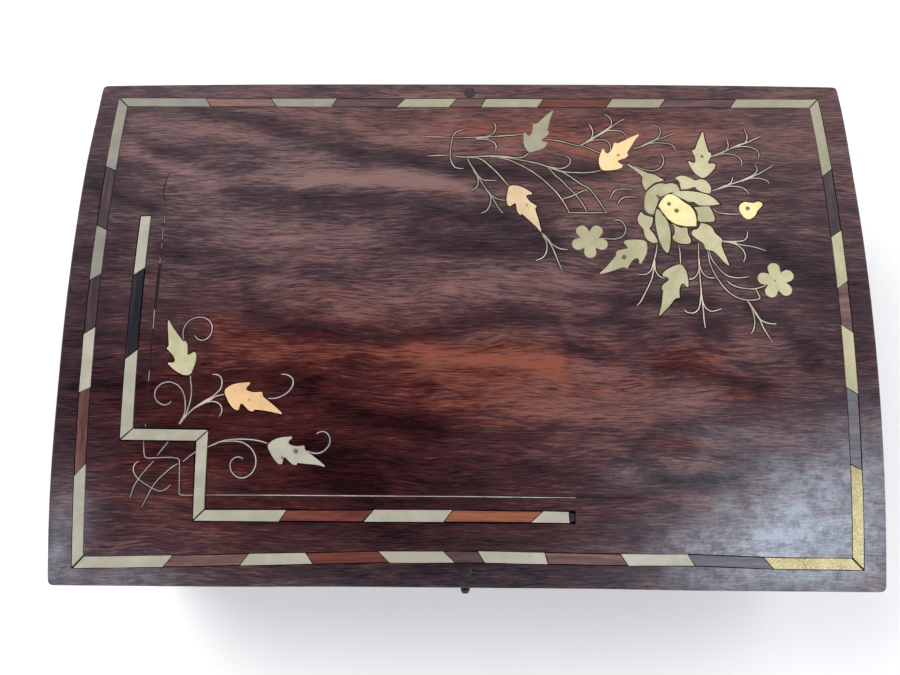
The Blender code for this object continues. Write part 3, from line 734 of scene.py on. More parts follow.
# Base, direction in degrees, length and width of each leaf.
LEAVES = {
    "leaf_brass_1": (-86.1, -19.6, 115, 18.8, 1.0),
    "leaf_brass_2": (-61.1, -41.3, -19, 18.7, 1.0),
    "leaf_brass_3": (20.9, 56.4, 63, 18.4, 1.0),
    "leaf_brass_4": (57.4, 24.4, -144, 18.6, 1.0),
    "leaf_brass_5": (77.9, 46.9, 85, 17.6, 1.05),
    "leaf_brass_6": (68.0, 16.7, -114, 18.4, 1.0),
    "leaf_copper_1": (-75.1, -24.6, -21, 19.4, 1.0),
    "leaf_copper_2": (44.7, 49.8, 46, 18.8, 1.0),
    "leaf_copper_3": (13.9, 43.7, -58, 18.8, 1.0),
}

FLOWER = {
    "flower_calyx": (
        ((53.2, 52.2), (56.5, 50.4), (60, 48.6), (61.8, 48.2), (63.3, 47.2), (64.9, 46.1), (63.5, 45.6),
         (62, 45.2), (60.3, 44), (58.6, 42.3), (57.9, 44), (57.6, 45.7), (57.9, 47), (57, 48.3), (55, 50.2),
         (53.2, 51.8)),
        "c....c...c.....c",
    ),
    "flower_petal_1": (
        ((58.9, 41.9), (60.6, 43.5), (62.4, 44.6), (64, 44.9), (65.3, 44.6), (66.6, 44.9), (68, 44.8),
         (69.1, 44), (69.6, 42.8), (69.6, 42), (68, 41.8), (66.3, 41.5), (64.3, 40.5), (63, 40.3),
         (62.2, 40.8), (61.8, 40.4), (62.6, 39.2), (61.9, 37.2), (61.1, 35.3), (60.7, 34), (60, 33.8),
         (58.8, 34.2), (58, 35.4), (57.9, 38), (58.2, 40)),
        "c...c....c.....cc..c.c...",
    ),
    "flower_petal_2": (
        ((68.5, 46.8), (69.6, 47.5), (71.2, 47.7), (73, 47.2), (74.5, 46.3), (75.2, 46), (76.5, 46.4),
         (77.8, 46.3), (79, 45.4), (79.8, 44), (79.9, 42.2), (79.4, 41.3), (78.4, 41.4), (76.2, 42.2),
         (75.3, 42.9), (75, 43.5), (74.3, 43.6), (73, 43.1), (70.3, 42.7), (70, 44), (69.9, 45.2),
         (69.3, 46.2)),
        "c...c......c...c..c...",
    ),
    "flower_petal_3": (
        ((67, 41.3), (68.7, 42), (71, 42.2), (74, 42), (77, 41.4), (79.5, 40.4), (81.5, 38.6), (82.4, 37.5),
         (80, 37.1), (77.5, 37), (75.5, 37.2), (74.5, 37.9), (73.9, 38.3), (72.6, 38.3), (70.2, 39.5),
         (68.2, 40.7)),
        "c......c........",
    ),
    "flower_petal_4": (
        ((73.8, 36.4), (75.5, 36.5), (77.8, 36.7), (79, 36.5), (79.8, 34.5), (80.2, 32), (79.8, 31.3),
         (77, 31.2), (75, 31.4), (74.8, 32), (74.9, 34), (74.5, 35.4)),
        "c..c..c.c...",
    ),
    "flower_heart": (
        ((66.3, 41), (64.3, 39.8), (62.3, 36.8), (63.9, 34.2), (66, 31.5), (69, 30.0), (74.1, 29.7),
         (74.2, 33.3), (73, 36.3), (70.8, 38.1)),
        "..c...c...",
    ),
    "flower_petal_5": (
        ((61.7, 35.8), (62.5, 35.2), (63.5, 33.6), (64.8, 31.6), (65.3, 30), (65.6, 27.5), (65.4, 24.5),
         (64.8, 21.5), (64.3, 20.4), (63.3, 21.3), (62.1, 24), (61.4, 27), (61, 30), (61, 32.5),
         (61.3, 34.5)),
        "c.......c......",
    ),
    "flower_petal_6": (
        ((56.6, 34.7), (55.6, 33.3), (55.3, 31.8), (55.9, 30), (57, 28.7), (57.1, 27.6), (57.2, 26.5),
         (57.7, 25.4), (58.6, 24.5), (60, 23.9), (61.4, 24.1), (60.9, 25.6), (60, 27.3), (59.2, 28.3),
         (58.9, 28.9), (59.7, 30), (60.2, 31.8), (60.3, 32.8), (59, 33.1), (57.5, 33.7)),
        "c...c.....c..cc..c..",
    ),
    "flower_petal_7": (
        ((66.2, 30.6), (66.9, 29.5), (67, 28), (66.9, 27), (66.2, 26.1), (66.4, 25.1), (67.8, 24),
         (70.3, 23.6), (71.7, 23.9), (71.9, 25), (71.2, 27), (71.1, 28.6), (71, 29.2), (69, 29.2),
         (67.4, 29.9)),
        "c..c........c..",
    ),
    "leaf_strip": (
        ((72.4, 27.6), (72.9, 28.3), (74, 28.6), (75, 29.5), (75.6, 30.8), (77, 30.5), (78.3, 30),
         (79.3, 28.8), (79.8, 27.5), (81, 26.2), (82, 25), (81.6, 23.5), (82, 21.5), (82.8, 19),
         (83.6, 16.5), (83.3, 16.3), (82, 17.5), (80, 20), (78.5, 21.3), (77, 21.5), (76.3, 22.2),
         (76, 23.5), (75, 24.5), (73.5, 25.7), (72.6, 26.7)),
        "c...c.........cc.........",
    ),
    "heart_bud": (
        ((88.5, 36.3), (88.8, 37.2), (89.6, 37.9), (90.5, 38.3), (92, 38.1), (93.5, 38), (94.5, 38.4),
         (95.5, 38.3), (96.1, 37.8), (96, 37), (95.2, 36.1), (94.3, 35.1), (93.6, 33.8), (92.5, 32.7),
         (91.2, 32.2), (90, 32.6), (89.2, 33.7), (88.6, 35)),
        "..................",
    ),
}
LEAF_METALS = {
    "leaf_brass_1": BRASS_PALE,
    "leaf_brass_2": BRASS,
    "leaf_brass_3": BRASS_SOFT_PAINTED_SHADE,
    "leaf_brass_5": BRASS_PALE,
    "leaf_copper_1": COPPER,
    "leaf_copper_2": COPPER_PALE,
    "leaf_copper_3": COPPER_ROSE,
}
FLOWER_METALS = {
    "flower_heart": (BRASS_BRIGHT, "bright_brass"),
    "heart_bud": (BRASS_BRIGHT, "bright_brass"),
    "flower_petal_2": (BRASS_PALE, "brass_inlay"),
    "flower_petal_3": (BRASS_PALE, "brass_inlay"),
    "leaf_strip": (BRASS_PALE, "brass_inlay"),
}

# Centre and the direction of one petal of each five-petal flower.
SMALL_FLOWERS = {"small_flower_1": (39.5, 24.6, -90), "small_flower_2": (98.0, 11.3, 97)}
PETAL_REACH = 3.9
PETAL_RADIUS = 2.0
PETAL_NOTCH = 3.0

# Nails through the plates: place and radius.
NAILS = ((-67.3, -27.3, 0.45), (-52.4, -42.9, 0.75), (50.4, 55.4, 0.5), (19.6, 37.0, 0.4),
 (50.2, 19.0, 0.75), (78.2, 55.0, 0.5), (65.8, 37.5, 0.65), (68.1, 35.1, 0.75), (91.2, 36.0, 0.7),
 (97.6, 11.4, 0.35), (-56.5, -44.9, 0.35))
PALE_NAILS = (1, 3, 4, 10)

# Sides, length, depth of the middle below the crown, and the steps of the dome.
NAIL_SHAPE = (20, 0.0014, 0.0006, ((0.35, 0.00004), (0.5, 0.00003)))
PLUG_SHAPE = (28, 0.003, 0.00162, ((0.25, 0.0001), (0.3, 0.00005)))


def leaf_points(x, y, degrees, length, width):
    turn = math.radians(degrees)
    along = Vector((math.cos(turn), math.sin(turn)))
    across = Vector((-math.sin(turn), math.cos(turn)))
    return [tuple(Vector((x, y)) + length * (a * along + b * width * across)) for a, b in LEAF]


def small_flower_points(x, y, start, wider=0.0):
    points, corners = [], ""
    radius = PETAL_RADIUS + wider
    for petal in range(5):
        direction = math.radians(start + 72 * petal)
        centre = (x + PETAL_REACH * math.cos(direction), y + PETAL_REACH * math.sin(direction))
        for degrees in (-112, -56, 0, 56, 112):
            angle = direction + math.radians(degrees)
            points.append((centre[0] + radius * math.cos(angle), centre[1] + radius * math.sin(angle)))
        between = direction + math.radians(36)
        notch = PETAL_NOTCH + wider
        points.append((x + notch * math.cos(between), y + notch * math.sin(between)))
        corners += ".....c"
    return points, corners


def domed_disc(centre_x, centre_y, radius, sides, length, middle, dome):
    """A short pin set in the arch. Each step of its dome is an inset, as a share, and a rise."""
    place = (centre_x, centre_y, TOP - middle)
    bpy.ops.mesh.primitive_cylinder_add(vertices=sides, radius=radius, depth=length, location=place)
    obj = bpy.context.object
    bpy.ops.object.mode_set(mode="EDIT")
    bpy.ops.mesh.select_mode(type="FACE")
    bpy.ops.mesh.select_all(action="DESELECT")
    bpy.ops.object.mode_set(mode="OBJECT")
    for face in obj.data.polygons:
        face.select = face.normal.z > 0.9
    bpy.ops.object.mode_set(mode="EDIT")
    for share, rise in dome:
        bpy.ops.mesh.inset(thickness=radius * share)
        bpy.ops.transform.translate(value=(0, 0, rise))
    bpy.ops.object.mode_set(mode="OBJECT")
    bpy.ops.object.transform_apply(location=True, rotation=True, scale=True)
    lay_on_arch(obj)
    return obj


def make_leaves_and_flowers():
    for name, place in LEAVES.items():
        slot = "copper_inlay" if "copper" in name else "brass_inlay"
        metal = LEAF_METALS.get(name, BRASS_WARM)
        piece = plate(name, wander(leaf_points(*place), 0.05), LEAF_CORNERS, metal)
        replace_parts(piece, name)
    for name, (points, corners) in FLOWER.items():
        metal, slot = FLOWER_METALS.get(name, (BRASS_WARM, "brass_inlay"))
        piece = plate(name, points, corners, metal)
        if name in frame["nodes"]:
            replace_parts(piece, name)
    for name, (x, y, start) in SMALL_FLOWERS.items():
        points, corners = small_flower_points(x, y, start)
        plate(name, points, corners, BRASS_PALE if x > 90 else BRASS_WARM, pocket=False)
        points, corners = small_flower_points(x, y, start, POCKET_MARGIN / MM)
        POCKETS.append(([outline_of(points, corners)], 0.0))
    for number, (x, y, radius) in enumerate(NAILS, 1):
        nail = domed_disc(x * MM, y * MM, radius * MM, *NAIL_SHAPE)
        metal = NAIL_PALE if number in PALE_NAILS else NAIL
        finish_piece(nail, f"nail_{number}", metal, "lid")


# ---------------------------------------------------------------- wires

# Sprays of wire, each with its metal, thickness and lines.
SPRAYS = {
    "wires_root": (
        WIRE, 0.23,
        (
            ((-88.8, -34.8), (-87.8, -33.2), (-87.1, -31.2), (-87.1, -29), (-87.6, -26), (-89, -23.6),
             (-91, -22.3), (-93.5, -22), (-95.6, -23.1), (-96.7, -25.1), (-96.4, -27.1), (-95, -28.6),
             (-93.2, -29), (-92, -28.5), (-91.4, -27.8)),
            ((-88.6, -34.9), (-86.9, -32.2), (-86.1, -30), (-85.5, -27), (-85.4, -24), (-85.8, -21.5),
             (-85.9, -19.9)),
            ((-88.4, -34.9), (-86.4, -32.1), (-84.2, -30), (-82, -28.7), (-79.1, -27), (-77, -26.1),
             (-75.2, -25.7)),
            ((-84, -29.7), (-81.5, -28.0), (-79, -26.5), (-77.4, -25.2), (-76.3, -23.8), (-76, -22),
             (-76.5, -20.4), (-77.6, -19.6), (-79, -19.5)),
            ((-84.4, -30.2), (-82.5, -28.9), (-80.5, -28.1), (-78.3, -27.9), (-76.7, -28.5), (-75.7, -29.9),
             (-75.8, -31.4), (-76.4, -32.5)),
            ((-61.4, -26.9), (-59.3, -26.8), (-57, -26), (-55, -24.5), (-53.9, -22.4), (-54.2, -20.7),
             (-55.6, -19.6), (-57.6, -19.3)),
            ((-88.8, -8.6), (-89.2, -6.2), (-88.4, -3.8), (-86.6, -2), (-84.2, -1.4), (-82, -1.9),
             (-80.4, -3.5), (-80.1, -5.8), (-81, -7.8), (-82.8, -8.8), (-84.5, -8.3), (-85.5, -7.2)),
        ),
    ),
    "wires_stem": (
        WIRE, 0.23,
        (
            ((-79.6, -41.8), (-77.5, -40.9), (-75, -39.9), (-72, -39.5), (-68, -39.4), (-64, -39.8),
             (-61.2, -40.6)),
            ((-76, -40.3), (-73, -40.0), (-69.5, -40.2), (-67, -41.4), (-65.3, -43.4), (-64.6, -46),
             (-65.1, -48.5), (-66.8, -50.4), (-69.2, -51.1), (-71.3, -50), (-72.4, -48), (-72.2, -46.1),
             (-70.9, -44.9), (-69.5, -44.8), (-68.5, -45.4)),
            ((-48.8, -42.8), (-46.8, -43.5), (-44.8, -43.3), (-43, -42.1), (-42, -40.1), (-42.3, -38.2),
             (-43.6, -37), (-45, -37), (-46.2, -37.6)),
        ),
    ),
    "wires_crossed": (
        WIRE, 0.22,
        (
            ((-91.8, -40.3), (-93.4, -42.3), (-95, -44.4)),
            ((-96.1, -46.2), (-98.5, -48.9), (-100.4, -51.4), (-101.9, -54), (-102.7, -56.3),
             (-103, -57.2)),
            ((-83.2, -43.3), (-85, -44.6), (-87, -46.3)),
            ((-88.6, -46.9), (-90.5, -48.1), (-92.7, -50), (-94.5, -51.8), (-96.2, -54), (-97.5, -56.5),
             (-99.3, -60)),
            ((-100.7, -46.2), (-101.9, -47.3), (-102.2, -49), (-101.3, -50.8), (-99.6, -52.3),
             (-97.5, -53.6), (-95.5, -54.7), (-93.8, -55.2), (-92.2, -54.7), (-90.6, -53.3)),
        ),
    ),
    "wires_step": (
        WIRE, 0.2,
        (
            ((-98.7, 32.6), (-98.6, 30.2)), ((-98.6, 28.5), (-98.5, 24.4)), ((-98.5, 23.2), (-98.5, 16.2)),
            ((-98.8, 1), (-98.7, -3.5), (-98.9, -20), (-99.1, -35.7)),
            ((-99.4, -40.2), (-99.2, -43.5), (-98.8, -45), (-97.8, -45.3), (-94, -45.1), (-91, -45),
             (-88.6, -45.3), (-88.1, -46), (-88, -50), (-87.9, -56), (-87.2, -56.4), (-83.6, -56.4)),
            ((-79.7, -56.3), (-60, -56.2), (-30, -56.2), (0, -56.2), (22, -56.3), (33.3, -56.3)),
        ),
    ),
    "wires_bracket": (
        WIRE_DULL, 0.23,
        (
            ((-15, 62.3), (-10, 62.2), (-6, 62.1)), ((-13, 54.9), (-9, 55.1), (-6.3, 55.1)),
            ((-0.7, 65.4), (-2, 65), (-3.8, 64.1), (-4.8, 62.5), (-5.3, 60), (-5.6, 57), (-5.6, 54),
             (-5, 52), (-4, 50.6), (-2.8, 50.2), (-1.2, 50.2)),
            ((-4.4, 62), (0, 62), (3, 62.1), (6, 62.4), (9, 62.4), (12, 62.7), (16, 63), (18.6, 63.4)),
            ((3, 62), (6, 62.3), (8, 63), (9.3, 64.2), (9.8, 66), (9.5, 67.3), (8.8, 68.2)),
            ((3, 61.4), (6.5, 61.2), (8, 60.8), (9.3, 59.9), (9.8, 58.6), (9.6, 57.2)),
        ),
    ),
    "wires_vine": (
        WIRE_DULL, 0.25,
        (
            ((-4.9, 54.9), (-1, 54.5), (3, 54.7), (8, 54.9), (12, 54.8), (16, 54.3), (18.2, 54.4),
             (19.5, 55), (20.6, 56.2)),
            ((8, 54.6), (12, 54.5), (16, 53.8), (19, 53.2), (21.5, 52.6), (24, 52.0), (26, 51.2),
             (28, 50.6), (31, 49.2), (34, 47.3), (36, 45.7), (38, 44.2), (40, 43), (41.5, 41), (43, 38.5),
             (44.4, 36), (45.4, 34.5)),
            ((0, 54.3), (3, 54.2), (4.2, 53.9), (5.6, 53), (7.5, 51.2), (9, 49.7), (10.5, 48), (12, 46),
             (13.8, 43.7)),
            ((0.1, 53.9), (1, 52), (2, 50.2), (3, 48.2), (4.3, 46), (5.4, 44), (6.6, 42), (8.2, 39.7),
             (9.5, 37.3), (10.5, 35.5), (11.6, 34)),
            ((2.2, 50.0), (3.2, 48.2), (4.2, 46.9), (5.3, 46), (7, 45.8), (9.5, 45.8)),
            ((2.0, 49.8), (3.1, 47.8), (3.7, 46), (3.5, 44.2), (2.8, 42.9), (1.2, 42)),
            ((6.3, 42.2), (7.6, 40.4), (7.8, 39), (7.6, 37.4), (6.9, 35.6), (6, 34.6), (4.7, 34.1)),
            ((6.7, 42.2), (8.2, 40.2), (9.2, 39.5), (10.5, 38.9), (12.6, 38.5)),
            ((10.5, 54.3), (14, 53.4), (16.5, 52.2), (19, 50.8), (21, 49.5), (23, 48), (25.2, 46), (28, 43),
             (30, 40.5), (31.5, 38), (32.5, 36), (33.2, 34.5)),
            ((33.0, 34.3), (39, 34.25), (45.5, 34.3)),
            ((26.8, 50.7), (28.2, 49.0), (29.5, 47.4), (31, 46), (33, 43.5), (35.5, 40.8), (37.3, 38),
             (38.4, 36), (38.9, 34.5)),
            ((31.3, 39.1), (35, 40.5), (37.5, 41.8), (39.5, 42.6)),
            ((26.8, 51), (29, 50.5), (31, 50.3), (33, 51), (34.2, 52.3), (34.3, 53.8), (33, 55)),
            ((29, 50.1), (32, 49.1), (36, 48.8), (41, 48.9), (44.3, 49.6)),
        ),
    ),
    "wires_top": (
        WIRE_DULL, 0.245,
        (
            ((27, 61.4), (30, 60.9), (33, 60.2), (36, 59.2), (38, 59), (40, 60.2), (42, 61.6), (46, 64.2),
             (48.3, 65.9), (50, 67.3), (53.5, 69.6)),
            ((38, 59.2), (40.2, 60.5), (41.5, 61.6), (42.2, 62.8), (42.4, 64.5), (42, 66), (41.4, 67.3)),
            ((45, 63.8), (47, 65.3), (48.2, 66.2), (48.9, 67.5), (48.9, 69), (48.2, 70.3), (46.8, 71.4)),
            ((44.5, 63.2), (46.3, 64.4), (48, 64.9), (50, 64.9), (52, 64.5), (53.3, 63.3), (53.7, 62)),
            ((40, 60), (41.5, 60.8), (43, 61.1), (44.5, 61.3), (46.4, 61.1), (47.6, 60), (48, 58.5),
             (47.8, 57)),
            ((38, 59), (40.5, 58), (43, 56.8), (44.7, 56)),
            ((46.7, 39.2), (47.6, 41), (48.5, 42.2), (50, 42.7), (54, 42.7)),
            ((49, 36.8), (49.8, 38.5), (51, 39.7), (52, 39.9), (55.3, 39.9)),
            ((55.6, 57.8), (58.2, 58.6), (60, 59.6), (62.5, 60.8), (64, 61.6), (66, 62.2), (68.5, 63.4),
             (70.5, 64.1)),
            ((60, 59.7), (62, 60.7), (63.8, 61.9), (64.8, 63.2), (65.2, 64.8), (65, 65.9), (64.2, 66.6),
             (62.5, 66.9)),
            ((58.5, 58.6), (60.8, 59.7), (63, 60.1), (66, 60), (68, 59.6), (69, 58.9), (69.6, 57.5)),
            ((55.5, 51.3), (58, 50.2), (60, 49.6), (62, 49.6), (63.7, 50.4), (64.9, 51.8), (65.3, 53.5),
             (65.1, 55), (64.7, 56)),
        ),
    ),
    "wires_right": (
        WIRE_DULL, 0.245,
        (
            ((81.1, 54.8), (83, 55.6), (86, 57), (88, 57.9), (90.5, 59.1), (93.2, 60.3), (93.8, 61.5),
             (94.1, 63), (93.7, 64.7), (93.6, 65.6)),
            ((90.5, 59.3), (93.4, 60.2), (96, 61.5), (98.7, 62.8)),
            ((84, 56.2), (86.3, 57.3), (87.3, 58.8), (87.4, 60), (87.1, 61.8)),
            ((88, 58), (90.5, 58.7), (94, 58.7), (95.8, 58), (97, 57), (97.1, 55.5), (96.8, 54.3)),
            ((82.5, 55.2), (84.5, 55.8), (86, 56), (88, 55.8), (89.7, 55.1), (90.8, 54), (91.1, 52.9),
             (90.9, 51.6)),
            ((80.2, 42.3), (82.5, 43), (85, 44.2), (87, 44.8), (90, 45.9), (92, 46.7), (94, 47.6),
             (96, 48.4), (98.5, 49.9), (101.2, 51.6)),
            ((84, 43.9), (86.2, 44.8), (87.1, 45.9), (87.5, 47.3)),
            ((83, 43.1), (86, 43.9), (88, 43.9), (90, 43.5), (91.3, 42.6), (92.2, 41.2)),
            ((91.5, 46.7), (94, 47.9), (95.3, 48.9), (95.9, 50.3), (95.4, 52)),
            ((91, 46.1), (93.5, 46.9), (95.5, 46.9), (97.5, 46.5), (98.8, 45.8), (99.2, 45)),
            ((80.2, 35.4), (81.5, 34.6), (83.5, 34.1), (86, 34), (88.4, 34)),
            ((82, 24.6), (84, 24.5), (86, 24.5), (88, 24.6), (89.3, 25.1), (90, 26.1), (90.3, 28)),
            ((82.2, 24.3), (84.5, 24.1), (88, 23.3), (92, 22.6), (95.5, 21.4)),
            ((84, 24.1), (86, 23.5), (87.8, 22.2), (88.8, 20.5), (88.8, 19), (88.2, 17.6)),
        ),
    ),
    "wires_small": (
        WIRE_DULL, 0.245,
        (
            ((42.7, 25.5), (45, 25.3), (47.5, 25.2), (49.5, 25.7), (50.8, 27), (51.2, 28.7), (50.8, 30.3),
             (49.8, 31.5), (48.8, 31.8), (47.7, 31.5)),
            ((24.1, 27.3), (25.3, 25.6), (27, 23), (28.2, 20), (29.3, 17), (30.2, 14.6)),
            ((24.3, 27.0), (26.3, 24.4), (28, 22.8), (30, 21.8), (32.2, 21.5)),
            ((24.4, 26.2), (25.5, 24.2), (25.7, 22), (25.2, 20), (24, 18.6), (22, 17.7)),
        ),
    ),
    "wires_below": (
        WIRE_DULL, 0.245,
        (
            ((61, 23.4), (60.6, 21), (59.8, 18), (59.4, 15), (58.5, 11.5), (57.3, 9), (56.2, 7),
             (54.9, 4.5), (53.6, 3)),
            ((59.6, 18), (59.1, 16), (58.4, 14.5), (57.3, 13.5), (55.8, 13.2), (54.3, 13.3)),
            ((60.0, 17.8), (59.9, 15.5), (60.4, 13.6), (61.5, 12.4), (62.7, 12.0)),
            ((67.8, 23.3), (68.1, 21), (68.1, 18), (68.0, 16.8)),
            ((74.3, 23.9), (74.1, 21), (74, 18.5), (73.9, 14), (74, 9), (74.2, 4.5), (74.3, 1), (74.4, -2),
             (74.6, -4)),
            ((74.2, 18.4), (73.9, 15.5), (73.3, 13.8), (72.3, 12.4), (71, 11.8), (70.4, 11.7)),
            ((73.9, 18.4), (74.3, 15.5), (75, 13.7), (76, 12.6), (77.3, 12.2), (78.7, 12.2)),
            ((74.1, 8.7), (73.7, 5.5), (73.2, 3), (72.5, 1.6), (71.2, 0.8), (70, 0.7), (68.8, 1.2),
             (68.4, 1.8)),
            ((73.9, 8.7), (74.2, 4.9), (74.9, 2.8), (76, 1.6), (77.2, 1.3), (78.5, 1.6), (80, 2.2)),
            ((77.1, 21.2), (77.2, 18.5), (77.7, 16), (78.7, 13.5), (80, 11), (81.5, 8.8), (83.5, 6.9),
             (86, 5.5), (88.5, 5), (91, 5.1), (92.2, 5.6), (91.9, 7), (91.2, 8.7)),
            ((77.5, 21.1), (78.2, 18.3), (79.5, 16.2), (81, 14.3), (82.8, 12.9), (84.5, 12.4), (87, 12.3),
             (89.6, 12.7)),
            ((82.4, 11.2), (84, 9.9), (86, 9.1), (88, 8.8), (91, 8.7), (93, 9.2), (94.5, 9.8)),
            ((88.0, 5.2), (89.2, 3), (90.5, 0.8), (91.7, -1), (92.5, -3.5), (93.5, -5.5), (95.3, -8.5)),
            ((90.6, 0.9), (92, -1.3), (93.5, -2.2), (95, -2.6), (96.8, -2.7)),
            ((89.3, 3.0), (90, 0), (90.1, -2), (89.7, -4.2), (88.8, -5.8)),
        ),
    ),
}

# Places where the wires of a spray are twisted together.
TWISTED = {
    "wires_root": (
        ((-87.9, -33.8), (-86.9, -32.0)), ((-84.6, -30.2), (-82.5, -28.9), (-80.4, -27.8), (-78.5, -26.8)),
    ),
    "wires_vine": (
        ((2, 50.2), (3, 48.2), (4.1, 46.8)), ((6.4, 42.2), (8.1, 39.9)),
        ((9.6, 54.7), (12, 54.6), (14.5, 54.2)), ((27.5, 50.7), (31, 49.2)),
    ),
    "wires_bracket": (((3, 61.8), (7.3, 61.9)),),
    "wires_top": (
        ((38.6, 59.4), (42, 61.6), (46, 64.3), (48.3, 66)), ((58.4, 58.7), (61, 60.1), (64, 61.6)),
    ),
    "wires_right": (
        ((82, 55.2), (84, 56), (86.5, 57.2)), ((88, 58), (90.5, 59.1), (92.6, 60)),
        ((82.5, 43), (84.5, 43.9), (86.5, 44.6)), ((90, 45.8), (92, 46.6), (94.4, 47.7)),
        ((82.4, 24.5), (84.5, 24.3), (86.4, 24.2)),
    ),
    "wires_small": (((24.6, 26.6), (26.3, 24.5), (27, 23.2)),),
    "wires_below": (
        ((59.8, 18), (59.6, 15)), ((74, 18.5), (73.9, 14.8)), ((74, 8.9), (74, 4.8)),
        ((88.6, 4.4), (89.9, 2), (91.7, -1.1)),
    ),
}
STIFF_WIRES = ("wires_step", "wires_bracket")  # bent with pliers, not drawn round
WIRE_FLATTEN = 0.45
WIRE_SINK = 0.00004
TWIST_REACH = 2.0
TWIST_FLATTEN = 0.27
GROOVE_REACH, GROOVE_FLATTEN = 2.3, 0.045
TWIST_GROOVE_REACH, TWIST_GROOVE_FLATTEN = 2.9, 0.036
SAW_LINE_FLATTEN = 0.04

# Open saw lines without wire: half width, then the line.
SAW_LINES = (
    (0.26, ((-98.7, 33), (-98.6, 24), (-98.4, 16))), (0.55, ((-98.4, 16.3), (-98.5, 8), (-98.6, 1))),
    (0.34, ((-98.7, 1.5), (-98.8, -12), (-99, -24), (-99.1, -36))),
    (0.2, ((-99, 48), (-100, 42), (-98.9, 37))), (0.3, ((-102.2, -39.9), (-102.4, -36.4))),
    (0.3, ((33.4, -56.3), (40, -56.2), (52, -56.1))),
)


def wire_lines(name, lines, radius, flatten, lift):
    """Lines of round wire, pressed flat and bent onto the lid. Each line ends a little thinner."""
    curve = bpy.data.curves.new(name, "CURVE")
    curve.dimensions = "3D"
    curve.bevel_depth = radius * MM
    curve.bevel_resolution = 1
    curve.resolution_u = 4
    curve.use_fill_caps = True
    handle = "VECTOR" if name.startswith(STIFF_WIRES) else "AUTO"
    for points in lines:
        last = len(points) - 1
        spline = curve.splines.new("BEZIER")
        spline.bezier_points.add(last)
        for i, (point, (x, y)) in enumerate(zip(spline.bezier_points, points)):
            point.co = (x * MM, y * MM, 0)
            point.handle_left_type = point.handle_right_type = handle
            point.radius = 0.75 if i in (0, last) else 1.0
    obj = bpy.data.objects.new(name, curve)
    bpy.context.scene.collection.objects.link(obj)
    pick(obj)
    bpy.ops.object.convert(target="MESH")
    obj = bpy.context.object
    obj.scale.z = flatten
    obj.location.z = TOP + lift
    bpy.ops.object.transform_apply(location=True, rotation=True, scale=True)
    lay_on_arch(obj)
    return obj


def make_wires():
    beds = []
    for name, (metal, radius, lines) in SPRAYS.items():
        lines = [wander(line, 0.03) for line in lines]
        objs = [wire_lines(name, lines, radius, WIRE_FLATTEN, -WIRE_SINK)]
        twisted = TWISTED.get(name, ())
        if twisted:
            reach = radius * TWIST_REACH
            objs.append(wire_lines(name + "_twist", twisted, reach, TWIST_FLATTEN, -WIRE_SINK))
            pick(*objs)
            bpy.ops.object.join()
        finish_piece(objs[0], name, metal, "lid", 60)
        beds.append(wire_lines(name + "_bed", lines, radius * GROOVE_REACH, GROOVE_FLATTEN, 0.0))
        if twisted:
            reach = radius * TWIST_GROOVE_REACH
            beds.append(wire_lines(name + "_bed", twisted, reach, TWIST_GROOVE_FLATTEN, 0.0))
    for half_width, line in SAW_LINES:
        beds.append(wire_lines("saw_line", (line,), half_width, SAW_LINE_FLATTEN, 0.0))
    pick(*beds)
    bpy.ops.object.join()
    finish_piece(beds[0], "wire_grooves", MASTIC, "lid", 60)


# ---------------------------------------------------------------- the lid's panel

CORNER_RADIUS = 0.0018
PANEL_EDGE = 0.0005
FILLER_DROPS = (0.00004, 0.0018)  # the faces between these depths are walls and floors of pockets
RIM = 0.002

